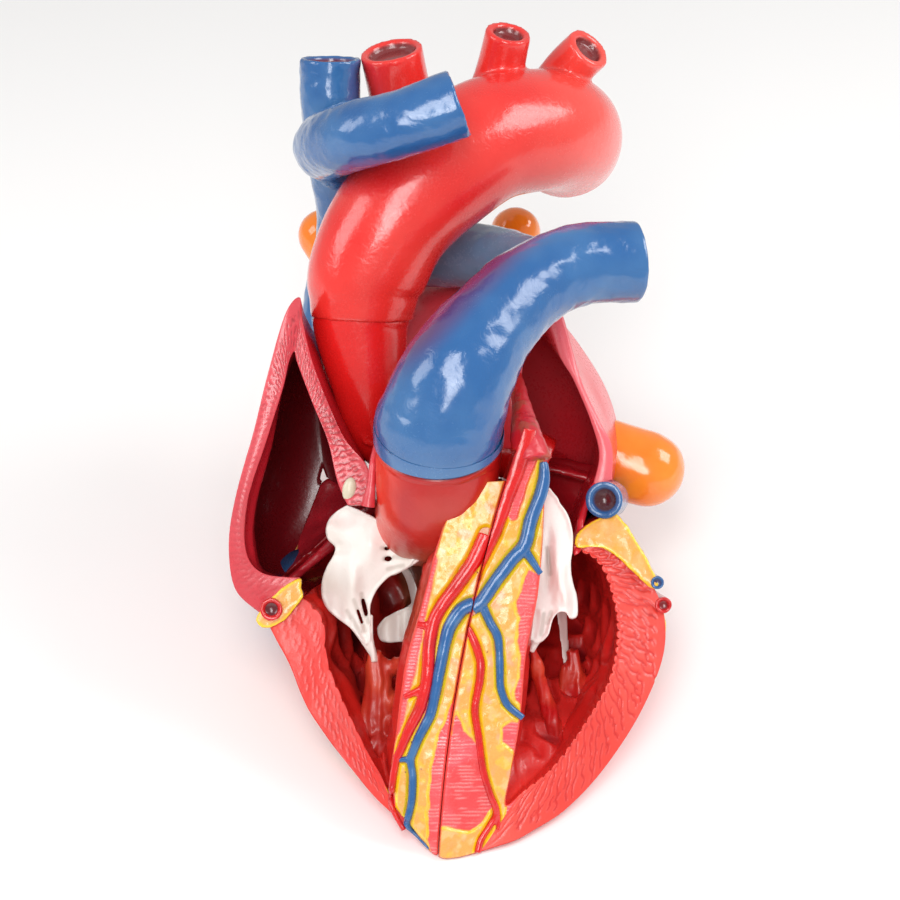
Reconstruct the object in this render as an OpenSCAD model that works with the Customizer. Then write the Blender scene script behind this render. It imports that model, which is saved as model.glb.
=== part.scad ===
// Opened human heart teaching model, twice life size, resting on its flat underside.
// It parts down the septum into two halves, and the pulmonary trunk lifts off.
// Points are [x to the heart's left, depth from the viewer, height along the heart] in mm,
// and stand() leans that frame back onto the table.

/* [Whole model] */
// times life size
model_scale = 2; // [1.6:0.1:3]
// lean of the long axis back from upright, degrees
lean = 38; // [36:1:40]
// gap between pieces that come apart
clearance = 0.3; // [0.3:0.05:0.5]

/* [Chambers] */
// depth of the right ventricle behind the septum edge
right_depth = 100; // [94:1:104]
// depth of the left ventricle behind the septum edge
left_depth = 112; // [106:1:116]
// depth of the right atrium
atrium_depth = 98; // [92:1:102]
// depth of the left atrium
left_atrium_depth = 126; // [120:1:130]
// least thickness of the ventricles' flat floor
floor_wall = 9; // [6:0.5:12]

/* [Great vessels] */
// radius of the aortic arch
arch_r = 23.5; // [21:0.5:23.5]
// radius of the aorta at its moulded seam
seam_r = 18.5; // [16:0.5:18.5]
// radius of the aortic root
root_r = 10.5; // [9:0.5:10.5]
// radius of the pulmonary trunk where it seats
trunk_r = 23.5; // [21:0.5:24]
// radius of the left pulmonary artery
lung_artery_r = 14.7; // [12:0.1:15]
// radius of the superior vena cava
cava_r = 11.7; // [10:0.1:12]
// radius of the left brachiocephalic vein
brachial_r = 12.6; // [11:0.1:12.6]
// radius of the brachiocephalic trunk
branch_r = 11.9; // [10:0.1:12]
// wall thickness at the open vessel ends
vessel_wall = 3; // [2:0.25:4]
// depth of the painted lumens
lumen_depth = 8; // [4:0.5:12]
// height of the spigot that the pulmonary trunk drops over
spigot_h = 7; // [5:0.5:9]

/* [Inner pieces] */
// thickness of the valve leaflets
leaflet_t = 2; // [1.5:0.1:3]
// radius of a chorda
chorda_r = 1; // [0.8:0.1:1.4]
// radius of a septum magnet
magnet_r = 6; // [4:0.5:7]
// thickness of a septum magnet
magnet_h = 3; // [2:0.5:4]
// radius of the coronary arteries on the septum edge
coronary_r = 2.6; // [2:0.1:3]
// radius of the cardiac veins on the septum edge
cardiac_vein_r = 2.4; // [2:0.1:3]
// radius of the cut coronary artery in the right groove
groove_artery_r = 4.6; // [4:0.1:5]
// radius of the coronary sinus
sinus_r = 7.4; // [6:0.1:8]

/* [Hidden] */
k = model_scale / 2;
gap = clearance / k;
up = [0, -sin(lean), cos(lean)];
floor_z = 145 * cos(lean) - 9 * sin(lean) + 1;

// cut edge of the right ventricle: groove, free wall, apex, up the septum
rv_out = [[-66, 18, -65], [-59, 15, -78], [-53, 12, -92], [-42, 7, -108], [-28, 1, -124],
  [-14, -5, -136], [-4, -9, -144], [-1, -12, -124], [1, -13, -101], [4, -14, -79],
  [6, -14, -58], [12, -13, -34], [20, -10, -11]];
rv_in = [[-54, 18, -54], [-47, 15, -67], [-45, 12, -84], [-36, 8, -99], [-28, 3, -112],
  [-23, -3, -122], [-20, -7, -127], [-21, -9, -114], [-19, -11, -97], [-16, -12, -78],
  [-13, -12, -60], [-7, -12, -36], [2, -10, -12]];
// cut edge of the left ventricle, the same way round
lv_out = [[79, 26, -60], [78, 22, -78], [70, 17, -96], [57, 11, -115], [43, 4, -129],
  [31, -2, -136], [19, -6, -141], [-4, -9, -145], [-1, -12, -124], [1, -13, -101],
  [4, -14, -79], [6, -14, -58], [12, -13, -34], [21, -11, -1]];
lv_in = [[49, 26, -36], [60, 22, -55], [61, 18, -70], [58, 13, -84], [51, 8, -96],
  [40, 3, -111], [28, -2, -121], [20, -6, -127], [22, -9, -114], [25, -11, -95],
  [27, -12, -73], [31, -12, -51], [33, -11, -32], [34, -9, -2]];
// cut edge of the right atrium: groove, outer wall, top, wall beside the aorta
ra_out = [[-70, 20, -60], [-79, 18, -51], [-81, 16, -35], [-78, 14, -16], [-72, 13, 5],
  [-66, 13, 29], [-60, 14, 50], [-55, 16, 56], [-54, 16, 47], [-49, 14, 27],
  [-42, 10, 5], [-37, 8, -6], [-28, 4, -20]];
ra_in = [[-55, 20, -47], [-69, 18, -45], [-75, 16, -36], [-74, 14, -18], [-66, 13, 7],
  [-61, 13, 23], [-59, 14, 32], [-57, 15, 36], [-56, 15, 32], [-51, 13, 19],
  [-45, 10, 4], [-41, 7, -11], [-37, 5, -20]];
// cut edge of the left atrium, and its wide hind part behind the aorta
la_out = [[61, 40, -11], [61, 40, 1], [56, 40, 11], [50, 42, 24], [46, 44, 38],
  [42, 46, 52], [37, 48, 58], [30, 46, 50], [24, 40, 30], [25, 36, 13], [27, 34, 0]];
la_in = [[53, 40, -15], [56, 40, -2], [53, 40, 11], [47, 42, 26], [42, 44, 35],
  [38, 46, 47], [34, 47, 52], [30, 46, 44], [27, 41, 27], [30, 37, 16], [35, 34, 2]];
la_mid = [[64, 92, -16], [67, 92, 4], [62, 92, 24], [50, 92, 44], [34, 92, 60],
  [10, 94, 72], [-14, 97, 70], [-34, 98, 56], [-42, 98, 36], [-36, 98, 18], [-20, 96, 4]];

// vessel centre lines
arch_path = [[-33, 34, 50.5], [-31, 32, 66], [-22, 29, 85], [-7, 31, 101], [13, 39, 116],
  [34, 54, 122], [49, 76, 120], [52, 92, 106], [49, 97, 88]];
root_path = [[-33, 34, 50], [-31, 36, 28], [-29, 40, 12], [-22, 47, 2], [0, 52, 1],
  [22, 54, 0], [36, 55, -6]];
cava_path = [[-45, 40, 147], [-45, 44, 128], [-42, 56, 108], [-40, 70, 86], [-45, 76, 60],
  [-49, 72, 36]];
brachial_path = [[-43, 42, 111], [-46, 20, 112], [-34, -3, 113], [-17, -12, 116], [3, -13, 123]];
// centre of the level seat under the pulmonary trunk
seat = [-4, -4, 4];
lung_left_path = [[-3, -4, 4], [-3, -10, 11.7], [3, -14, 27], [14, -9, 44], [29, 1, 59],
  [46, 8, 67], [67, 14, 69]];
lung_right_path = [[30, 47, 68], [15, 62, 74], [-8, 74, 76], [-21, 78, 77]];

// ---- smooth curves, grids and skins -------------------------------------------------

function clampi(i, n) = max(0, min(i, n));

// Catmull-Rom point of the control points q at u
function along(q, u) =
  let (n = len(q) - 1, i = clampi(floor(u), n - 1), f = u - i,
    a = q[clampi(i - 1, n)], b = q[i], c = q[i + 1], d = q[clampi(i + 2, n)])
  0.5 * (2 * b + (c - a) * f + (2 * a - 5 * b + 4 * c - d) * f * f
    + (3 * b - a - 3 * c + d) * f * f * f);

function smooth(q, n) = [for (i = [0:n]) along(q, i * (len(q) - 1) / n)];

function unit(v) = v / max(norm(v), 1e-9);

// plane of the split, as x at a height
function split_x(v) = 23.4 + 0.33 * v + 0.00096 * v * v;

function table_z(p) = p * up + floor_z;

// a point kept at least h above the table
function above(p, h) = table_z(p) < h ? p + (h - table_z(p)) * up : p;

// grid of a bowl that runs back from a cut edge and closes on a pole
function bowl(edge, pole, back, n, m, e = 0.77, h = 0) =
  [for (j = [0:m]) let (a = 88 * j / m, f = pow(cos(a), e), g = pow(sin(a), e))
    [for (c = smooth(edge, n)) above([pole[0] + (c[0] - pole[0]) * f,
      c[1] + (back - c[1]) * g, pole[1] + (c[2] - pole[1]) * f], h)]];

// the same through a middle section
function deep_bowl(edge, mid, pole, back, n, m) =
  let (e = smooth(edge, n), s = smooth(mid, n))
  [for (j = [0:m]) let (t = j / m, b = sin(min(t, 0.5) * 180), a = 176 * max(t - 0.5, 0),
    f = pow(cos(a), 0.85), g = pow(sin(a), 0.85))
    [for (i = [0:n]) let (p = e[i] + (s[i] - e[i]) * b)
      [pole[0] + (p[0] - pole[0]) * f, p[1] + (back - p[1]) * g,
        pole[1] + (p[2] - pole[1]) * f]]];

// the septum's points, from index i0 on, lie on the split
function on_split(grid, i0, side) = [for (row = grid) [for (i = [0:len(row) - 1])
  let (p = row[i], s = split_x(p[2]) + side * gap / 2)
  [i >= i0 ? s : side > 0 ? max(p[0], s) : min(p[0], s), p[1], p[2]]]];

function quad(a, b, c, d) = [[a, b, c], [a, c, d]];

function flat(l) = [for (a = l) for (b = a) b];

// closed wall between an outer and an inner grid
module wall(outer, inner, flip = false) {
  n = len(outer[0]);
  m = len(outer);
  o = n * m;
  f1 = flat([for (j = [0:m - 2]) for (i = [0:n - 2]) let (a = j * n + i)
    concat(quad(a, a + 1, a + n + 1, a + n), quad(o + a, o + a + n, o + a + n + 1, o + a + 1))]);
  f2 = flat([for (i = [0:n - 2]) let (t = (m - 1) * n + i)
    concat(quad(i, o + i, o + i + 1, i + 1), quad(t, t + 1, o + t + 1, o + t))]);
  f3 = flat([for (j = [0:m - 2]) let (a = j * n, b = a + n - 1)
    concat(quad(a, a + n, o + a + n, o + a), quad(b, o + b, o + b + n, b + n))]);
  all = concat(f1, f2, f3);
  polyhedron(concat(flat(outer), flat(inner)),
    flip ? [for (f = all) [f[2], f[1], f[0]]] : all, convexity = 8);
}

function square_to(a, t) = unit(a - (a * t) * t);

function tangents(p) = [for (i = [0:len(p) - 1]) unit(p[min(i + 1, len(p) - 1)] - p[max(i - 1, 0)])];

// directions square to the tangents t, carried along without twist from ref
function carried(t, ref) = [for (i = 0, a = square_to(ref, t[0]); i < len(t);
  a = i + 1 < len(t) ? square_to(a, t[i + 1]) : a, i = i + 1) a];

// rings of a tube along points p with radii r
function tube_rings(p, r, sides, ref) = let (t = tangents(p), n = carried(t, ref))
  [for (i = [0:len(p) - 1]) let (b = cross(t[i], n[i]))
    [for (s = [0:sides - 1]) p[i] + r[i] * (cos(360 * s / sides) * n[i] + sin(360 * s / sides) * b)]];

function middle(ring) = let (n = len(ring), s = [for (i = 0, a = ring[0]; i < n; i = i + 1,
  a = a + (i < n ? ring[i] : [0, 0, 0])) a]) s[n - 1] / n;

// a ring drawn in towards its middle by w and moved by d
function inset_ring(ring, w, d) = let (c = middle(ring))
  [for (p = ring) c + (p - c) * (1 - w / norm(p - c)) + d];

// closed skin through rings, with flat ends
module skin(rings) {
  n = len(rings[0]);
  m = len(rings);
  sides = flat([for (j = [0:m - 2]) for (i = [0:n - 1]) let (a = j * n + i, b = j * n + (i + 1) % n)
    quad(a, a + n, b + n, b)]);
  polyhedron(flat(rings), concat(sides, [[for (i = [0:n - 1]) i],
    [for (i = [n - 1:-1:0]) (m - 1) * n + i]]), convexity = 6);
}

// skin through rings that run round into each other
module skin_ring(rings) {
  n = len(rings[0]);
  m = len(rings);
  polyhedron(flat(rings), flat([for (j = [0:m - 1]) for (i = [0:n - 1])
    let (a = j * n, b = (j + 1) % m * n, c = (i + 1) % n) quad(a + i, b + i, b + c, a + c)]),
    convexity = 6);
}

// rings that turn in at the last ring to a lumen of this depth
function lumen(ring, into, depth = lumen_depth, w = vessel_wall) = [
  inset_ring(ring, 0.35 * w, -0.0 * into), inset_ring(ring, w, into * 0.6),
  inset_ring(ring, w + 0.6, into * depth)];

function reversed(l) = [for (i = [len(l) - 1:-1:0]) l[i]];

// vessel along a path, with a lumen at either end if asked
module vessel(path, r, n, sides, ref, near, far, w = vessel_wall) {
  p = smooth(path, n);
  q = [for (i = [0:n]) along(r, i * (len(r) - 1) / n)];
  rings = tube_rings(p, q, sides, ref);
  tail = far ? lumen(rings[n], unit(p[n - 1] - p[n]), lumen_depth, w) : [];
  head = near ? reversed(lumen(rings[0], unit(p[1] - p[0]), lumen_depth, w)) : [];
  skin(concat(head, rings, tail));
}

// plain tapering cord along a path
module cord(path, r, n, sides = 5, ref = [0.2, 1, 0.1]) {
  skin(tube_rings(smooth(path, n), [for (i = [0:n]) along(r, i * (len(r) - 1) / n)],
    sides, ref));
}

// sheet between two edges, bulging towards the viewer
module sheet(top, low, bulge, t, n, m) {
  a = smooth(top, n);
  b = smooth(low, n);
  front = [for (j = [0:m]) [for (i = [0:n])
    a[i] + (b[i] - a[i]) * j / m - [0, bulge * sin(180 * j / m), 0]]];
  wall([for (row = front) [for (p = row) p + [0, t, 0]]], front);
}

// round-ended stub of radius r from a to b
module stub(a, b, r) {
  d = b - a;
  translate(a)
    rotate([0, acos(d[2] / norm(d)), atan2(d[1], d[0])]) {
      cylinder(h = norm(d) - r * 0.6, r = r, $fn = 48);
      translate([0, 0, norm(d) - r * 0.6]) sphere(r = r, $fn = 48);
    }
}

// disc flush with the split at depth w and height v, on one side of it
module septum_disc(w, v, side, r, h) {
  slope = 0.33 + 0.00192 * v;
  translate([split_x(v) + side * gap / 2, w, v])
    rotate([0, side * 90 + atan(slope), 0])
      cylinder(h = h, r = r, $fn = 48);
}

magnet_places = [[10, -60], [58, -62], [20, -104]];

module magnets(side) {
  for (m = magnet_places) septum_disc(m[0], m[1], side, magnet_r, magnet_h);
}

// leans the heart back and stands it on the table
module stand() {
  scale(k) translate([8, 15, floor_z]) rotate([-lean, 0, 0]) children();
}

// ---- chamber grids --------------------------------------------------------------------

rows = 8;
rv_outer = on_split(bowl(rv_out, [15.5, -26], right_depth, 30, rows), 15, -1);
rv_inner = bowl(rv_in, [0, -26], right_depth - 14, 30, rows, 0.77, floor_wall);
lv_outer = on_split(bowl(lv_out, [17.5, -18], left_depth, 39, rows), 21, 1);
lv_inner = bowl(lv_in, [33, -26], left_depth - 18, 39, rows, 0.77, floor_wall);
ra_outer = bowl(ra_out, [-39, -41], atrium_depth, 30, rows);
ra_inner = bowl(ra_in, [-40, -38], atrium_depth - 8, 30, rows);
la_outer = deep_bowl(la_out, la_mid, [6, 22], left_atrium_depth, 26, 9);
la_inner = deep_bowl(la_in, [for (p = la_mid) p + [(6 - p[0]) * 0.14, 2, (24 - p[2]) * 0.2]],
  [6, 22], left_atrium_depth - 7, 26, 9);

// point of a septum edge: s along it, u from the split to the cavity, h proud of it
function on_edge(out, in, s, u, h) =
  let (a = along(out, s), b = along(in, s)) a + (b - a) * u - [0, h, 0];

function edge_path(out, in, list, h) = [for (q = list) on_edge(out, in, q[0], q[1], h)];

module edge_cord(out, in, list, r, n) {
  cord(edge_path(out, in, list, 0.4 * r), [r * 0.75, r, r, r * 0.55], n, 7, [0, 1, 0]);
}

// ---- right half -----------------------------------------------------------------------

module right_ventricle() {
  color([0.80, 0.16, 0.14]) stand() difference() {
    wall(rv_outer, rv_inner);
    magnets(-1);
  }
}

module right_atrium() {
  color([0.72, 0.20, 0.26]) stand() wall(ra_outer, ra_inner);
}

// fat that fills the groove between atrium and ventricle
module right_groove_fat() {
  color([0.93, 0.72, 0.35]) stand()
    wall([for (j = [0:rows]) [rv_outer[j][0], ra_outer[j][0]]],
      [for (j = [0:rows]) [rv_inner[j][0], ra_inner[j][0]]], flip = true);
}

module right_coronary_artery() {
  p = [for (j = [0:rows - 2]) 0.36 * (rv_outer[j][0] + ra_outer[j][0])
    + 0.14 * (rv_inner[j][0] + ra_inner[j][0]) - (j == 0 ? [0, 1.5, 0] : [0, 0, 0])];
  color([0.85, 0.12, 0.10]) stand()
    vessel(p, [groove_artery_r, groove_artery_r * 0.8, 2.4], 8, 12, [0, 0, 1], true, false, 1.3);
}

// outflow of the right ventricle, ending in the spigot under the pulmonary trunk
module conus() {
  p = concat([seat, seat - 6 * up], smooth([[-5, 5, -15], [-9, 14, -28], [-14, 22, -42]], 4));
  r = [trunk_r - 0.4, trunk_r - 0.6, 21.5, 20, 17.5, 15, 12];
  outer = tube_rings(p, r, 24, [0, 1, 0.4]);
  inner = [for (i = [0:6]) inset_ring(outer[i], i < 2 ? trunk_r - 16 : 4, [0, 0, 0])];
  color([0.80, 0.18, 0.15]) stand() union() {
    skin_ring(concat(outer, reversed(inner)));
    translate(seat - 3 * up) rotate([lean, 0, 0]) difference() {
      cylinder(h = spigot_h + 3, r = trunk_r - 4.6, $fn = 64);
      translate([0, 0, -1]) cylinder(h = spigot_h + 5, r = 15.9, $fn = 64);
    }
  }
}

// three cusps in the mouth of the outflow
module pulmonary_valve() {
  color([0.92, 0.88, 0.80]) stand() translate(seat) rotate([lean, 0, 0])
    for (a = [0:120:240]) rotate([0, 0, a])
      rotate_extrude(angle = 114, $fn = 48)
        polygon([[0.8, -1], [4, -5], [9, -7.5], [13, -6], [15.9, 0], [15.9, 3],
          [12.6, -4], [9, -5.6], [4.4, -3.4], [1.6, 0]]);
}

module fibrous_ring_inlay() {
  color([0.85, 0.82, 0.70]) stand() hull() for (d = [-2.8, 2.8])
    translate([-38.6 + d * 0.25, 6.4, -14.8 - d]) rotate([90, 0, 0]) cylinder(h = 2.6, r = 2, $fn = 32);
}

module tricuspid_valve() {
  color([0.92, 0.89, 0.82]) stand() {
    sheet([[-40, 24, -18], [-31, 27, -20], [-20, 27, -29], [-12, 22, -38]],
      [[-49, 20, -37], [-44, 16, -53], [-34, 18, -55], [-24, 22, -46]], 5, leaflet_t, 10, 5);
    sheet([[-30, 44, -34], [-20, 44, -40], [-12, 40, -48]],
      [[-31, 36, -58], [-24, 34, -64], [-15, 32, -60]], 3, leaflet_t, 6, 3);
  }
}

module tricuspid_chordae() {
  c = chorda_r;
  color([0.92, 0.89, 0.82]) stand() {
    for (x = [[-46, 18, -48], [-43, 17, -52], [-39, 17.5, -54], [-35, 18.5, -54.5], [-31, 19.5, -52]])
      cord([x, [-35 + (x[0] + 38) * 0.35, 21, -66], [-30 + (x[0] + 38) * 0.06, 25, -77]],
        [c, c * 0.8, c], 3);
    for (v = [[-29, 22.5, -36, -38], [-28, 22, -40, -41], [-27, 22, -44, -44], [-26, 22, -47, -48]])
      cord([[v[0], v[1], v[2]], [-20, 21, (v[2] + v[3]) / 2 - 1.5], [-12.5, 17, v[3]]],
        [c, c * 0.7, c], 3);
    for (x = [-28, -23, -18])
      cord([[x, 35, -62], [x - 1, 31, -69], [-27 + (x + 23) * 0.3, 28, -79]], [c, c * 0.8, c], 3);
  }
}

module right_papillary_muscles() {
  color([0.66, 0.20, 0.16]) stand() {
    cord([[-28, 26, -75], [-27, 27, -84], [-30, 27, -95], [-32, 28, -107]], [3, 5, 5.5, 6.5], 7, 10);
    cord([[-26, 27, -82], [-20, 27, -86], [-18, 28, -97], [-20, 28, -107]], [3, 3.6, 4.2, 5], 7, 10);
  }
}

module right_edge_fat() {
  color([0.93, 0.75, 0.35]) stand()
    sheet(edge_path(rv_out, rv_in, [[12, 0.05], [10, 0.06], [8.6, 0.3], [6.5, 0.3]], -0.4),
      edge_path(rv_out, rv_in, [[12, 0.96], [10, 0.96], [8.4, 0.96], [6.4, 0.9]], -0.4),
      2.2, 2, 12, 3);
}

module right_edge_artery() {
  color([0.85, 0.10, 0.08]) stand() {
    edge_cord(rv_out, rv_in, [[11.1, 0.09], [10.5, 0.39], [10.05, 0.55], [9.4, 0.66],
      [8.75, 0.65], [8.15, 0.86], [7.7, 0.93]], coronary_r, 13);
  }
}

module right_edge_vein() {
  color([0.15, 0.38, 0.62]) stand()
    edge_cord(rv_out, rv_in, [[10.05, 0.08], [9.88, 0.27], [9.25, 0.38], [8.5, 0.47],
      [7.85, 0.67], [7.5, 0.68], [6.8, 0.68], [6.2, 0.35]], cardiac_vein_r, 14);
}

module superior_vena_cava() {
  color([0.20, 0.42, 0.66]) stand()
    vessel(cava_path, [cava_r, cava_r, cava_r, cava_r, cava_r, cava_r - 1], 10, 18,
      [0, 1, 0], true, false);
}

module left_brachiocephalic_vein() {
  color([0.20, 0.42, 0.66]) stand()
    vessel(brachial_path, [brachial_r - 2, brachial_r, brachial_r, brachial_r], 9, 18,
      [0, 0.2, 1], false, true);
}

// cut end of the lower caval vein, which also stands on the table
module inferior_vena_cava() {
  p = [-54, right_depth - 24, -40];
  color([0.20, 0.42, 0.66]) stand() translate(p - table_z(p) * up) rotate([lean, 0, 0])
    difference() {
      cylinder(h = table_z(p) + 2, r = 13, $fn = 64);
      translate([0, 0, -1]) cylinder(h = lumen_depth + 1, r = 10, $fn = 64);
    }
}

module right_septum_magnets() {
  color([0.7, 0.7, 0.72]) stand() magnets(-1);
}

// ---- left half ------------------------------------------------------------------------

module left_ventricle() {
  color([0.86, 0.22, 0.18]) stand() difference() {
    wall(lv_outer, lv_inner);
    magnets(1);
  }
}

module left_atrium() {
  color([0.80, 0.20, 0.24]) stand() wall(la_outer, la_inner);
}

module left_groove_fat() {
  color([0.95, 0.78, 0.35]) stand()
    wall([for (j = [0:rows]) [la_outer[j][0], lv_outer[j][0]]],
      [for (j = [0:rows]) [la_inner[j][0], lv_inner[j][0]]], flip = true);
}

function groove(j, f) = let (a = (la_outer[j][0] + la_inner[j][0]) / 2,
  b = (lv_outer[j][0] + lv_inner[j][0]) / 2) a + (b - a) * f;

module coronary_sinus() {
  p = [for (j = [0:rows - 1]) groove(j, 0.17) - (j == 0 ? [0, 2, 0] : [0, 0, 0])];
  color([0.16, 0.38, 0.62]) stand()
    vessel(p, [sinus_r, sinus_r, sinus_r - 1], 8, 14, [0, 0, 1], true, false, 2.4);
}

module circumflex_artery() {
  p = [for (j = [0:6]) lv_outer[j][0] + [-1.5, j == 0 ? -1.2 : 0, 4]];
  color([0.85, 0.12, 0.10]) stand()
    vessel(p, [4, 3.6, 2.6], 6, 10, [0, 0, 1], true, false, 1.2);
}

module circumflex_vein() {
  p = [for (j = [0:6]) groove(j, 0.86) + [9, j == 0 ? -1.2 : 0, 3]];
  color([0.16, 0.38, 0.62]) stand()
    vessel(p, [3.4, 3, 2.2], 6, 10, [0, 0, 1], true, false, 1.1);
}

module mitral_valve() {
  color([0.95, 0.93, 0.90]) stand() {
    sheet([[34, 36, -8], [42, 40, -12], [48, 40, -20]],
      [[30, 22, -52], [41, 20, -60], [50, 24, -50]], 6, leaflet_t, 10, 5);
    sheet([[40, 62, -16], [52, 58, -20], [60, 50, -26]],
      [[38, 44, -54], [48, 42, -58], [56, 40, -50]], 4, leaflet_t, 6, 3);
  }
}

module mitral_chordae() {
  c = chorda_r;
  color([0.95, 0.93, 0.90]) stand() {
    for (x = [31, 35, 40, 45]) cord([[x + 1, 22, -56], [(x + 34) / 2, 23, -64], [33 + (x - 38) * 0.1, 26, -75]],
      [c, c * 0.8, c], 3);
    for (x = [40, 46, 52]) cord([[x + 1, 42, -55], [(x + 40) / 2 + 1, 41, -66], [40 + (x - 46) * 0.2, 38, -80]],
      [c, c * 0.8, c], 3);
  }
}

module left_papillary_muscles() {
  color([0.82, 0.28, 0.18]) stand() {
    cord([[33, 26, -72], [36, 28, -84], [39, 30, -96], [41, 31, -106]], [3, 4.6, 5.6, 7], 7, 10);
    cord([[40, 38, -77], [42, 42, -86], [43, 46, -94]], [3.2, 5.4, 7], 6, 10);
  }
}

module left_edge_fat() {
  color([0.93, 0.75, 0.35]) stand()
    sheet(edge_path(lv_out, lv_in, [[12.7, 0.16], [11, 0.12], [9.4, 0.12], [8, 0.14]], -0.4),
      edge_path(lv_out, lv_in, [[12.8, 0.95], [11, 0.92], [9.4, 0.9], [8, 0.6]], -0.4),
      2.2, 2, 12, 3);
}

module left_edge_artery() {
  color([0.85, 0.10, 0.08]) stand() {
    edge_cord(lv_out, lv_in, [[12.9, 0.24], [12.5, 0.3], [12, 0.24], [11.6, 0.17]], coronary_r * 1.3, 8);
    edge_cord(lv_out, lv_in, [[10.75, 0.16], [10.15, 0.28], [9.65, 0.26], [8.9, 0.42],
      [8.3, 0.62], [7.8, 0.7], [7.3, 0.5]], coronary_r, 13);
  }
}

module left_edge_vein() {
  color([0.15, 0.38, 0.62]) stand() {
    edge_cord(lv_out, lv_in, [[12.85, 0.9], [12.35, 0.79], [11.9, 0.58], [11.45, 0.32],
      [11.1, 0.16]], cardiac_vein_r * 1.2, 8);
    edge_cord(lv_out, lv_in, [[11.4, 0.34], [10.9, 0.3], [10.5, 0.46], [10.1, 0.57],
      [9.7, 0.6], [9.35, 0.88]], cardiac_vein_r * 0.8, 9);
  }
}

module left_septum_magnets() {
  color([0.7, 0.7, 0.72]) stand() magnets(1);
}

// ---- aorta and lung vessels on the left half -------------------------------------------

seam = [-33, 34, 50];
seam_way = unit([0.06, -0.12, 1]);

module aortic_root() {
  p = concat([seam], smooth(concat([seam - 5 * seam_way], [for (i = [1:6]) root_path[i]]), 10));
  r = concat([seam_r], [for (i = [0:10]) along([seam_r - 0.6, seam_r - 4, root_r + 0.6, root_r,
    root_r, root_r + 0.5, root_r + 1], i * 6 / 10)]);
  color([0.84, 0.16, 0.14]) stand() skin(tube_rings(p, r, 22, [0.1, 1, 0.2]));
}

module coronary_ostium() {
  color([0.84, 0.16, 0.14]) stand() translate([-30, 38, 5]) rotate([100, 0, -14]) difference() {
    cylinder(h = 6.5, r = 3.2, $fn = 32);
    translate([0, 0, 3.4]) cylinder(h = 5, r = 1.5, $fn = 32);
  }
}

module aortic_arch() {
  n = 17;
  p = concat([seam], smooth(concat([seam + 5 * seam_way], [for (i = [1:8]) arch_path[i]]), n));
  r = concat([seam_r], [for (i = [0:n]) along([seam_r + 0.6, seam_r + 3, arch_r - 1, arch_r,
    arch_r, arch_r - 0.5, arch_r - 2, arch_r - 4, arch_r - 5.5], i * 8 / n)]);
  rings = tube_rings(p, r, 22, [0.1, 1, 0.2]);
  color([0.84, 0.16, 0.14]) stand()
    skin(concat(rings, lumen(rings[n + 1], unit(p[n] - p[n + 1]))));
}

module brachiocephalic_trunk() {
  color([0.84, 0.16, 0.14]) stand()
    vessel([[-9, 37, 106], [-17, 41, 128], [-22, 40, 150]], [branch_r + 1, branch_r, branch_r],
      4, 16, [0, 1, 0], false, true);
}

module left_common_carotid_artery() {
  color([0.84, 0.16, 0.14]) stand()
    vessel([[13, 42, 121], [18, 42, 138], [21, 40, 156]], [branch_r, branch_r * 0.76, branch_r * 0.7],
      4, 16, [0, 1, 0], false, true, 2.6);
}

module left_subclavian_artery() {
  color([0.84, 0.16, 0.14]) stand()
    vessel([[36, 57, 126], [44, 55, 141], [53, 52, 153]], [branch_r, branch_r * 0.76, branch_r * 0.72],
      4, 16, [0, 1, 0], false, true, 2.6);
}

module right_pulmonary_artery() {
  color([0.30, 0.45, 0.62]) stand()
    vessel(lung_right_path, [13, 12.6, 12], 5, 16, [0, 0.2, 1], true, true);
}

module right_upper_pulmonary_vein() {
  color([0.96, 0.52, 0.14]) stand() stub([-27, 103, 54], [-54, 112, 92], 11);
}

module right_lower_pulmonary_vein() {
  color([0.96, 0.52, 0.14]) stand() stub([-32, 108, 40], [-62, 118, 44], 11);
}

module left_upper_pulmonary_vein() {
  color([0.96, 0.52, 0.14]) stand() stub([18, 104, 58], [28, 112, 94], 10);
}

module left_lower_pulmonary_vein() {
  color([0.96, 0.52, 0.14]) stand() stub([50, 88, 0], [86, 84, -10], 15);
}

// ---- pulmonary trunk, which lifts off --------------------------------------------------

module pulmonary_trunk() {
  n = 12;
  base = seat + gap * up;
  p = concat([base, base + 5 * up], smooth([base + 11 * up, lung_left_path[2], lung_left_path[3],
    lung_left_path[4], lung_left_path[5], lung_left_path[6]], n));
  r = concat([trunk_r, trunk_r], [for (i = [0:n]) along([trunk_r - 0.3, trunk_r - 2.5,
    trunk_r - 6, lung_artery_r + 1, lung_artery_r, lung_artery_r], i * 5 / n)]);
  rings = tube_rings(p, r, 24, [0.2, 1, 0.4]);
  bore = [inset_ring(rings[0], trunk_r - 12, 22 * up), inset_ring(rings[0], 4, 12 * up),
    inset_ring(rings[0], 4, [0, 0, 0])];
  color([0.17, 0.40, 0.64]) stand()
    skin(concat(bore, rings, lumen(rings[n + 2], unit(p[n + 1] - p[n + 2]))));
}

// piece to show

right_ventricle();
right_atrium();
right_groove_fat();
right_coronary_artery();
conus();
pulmonary_valve();
fibrous_ring_inlay();
tricuspid_valve();
tricuspid_chordae();
right_papillary_muscles();
right_edge_fat();
right_edge_artery();
right_edge_vein();
superior_vena_cava();
left_brachiocephalic_vein();
inferior_vena_cava();
right_septum_magnets();
left_ventricle();
left_atrium();
left_groove_fat();
coronary_sinus();
circumflex_artery();
circumflex_vein();
mitral_valve();
mitral_chordae();
left_papillary_muscles();
left_edge_fat();
left_edge_artery();
left_edge_vein();
left_septum_magnets();
aortic_root();
coronary_ostium();
aortic_arch();
brachiocephalic_trunk();
left_common_carotid_artery();
left_subclavian_artery();
right_pulmonary_artery();
right_upper_pulmonary_vein();
right_lower_pulmonary_vein();
left_upper_pulmonary_vein();
left_lower_pulmonary_vein();
pulmonary_trunk();
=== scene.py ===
import math

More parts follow.
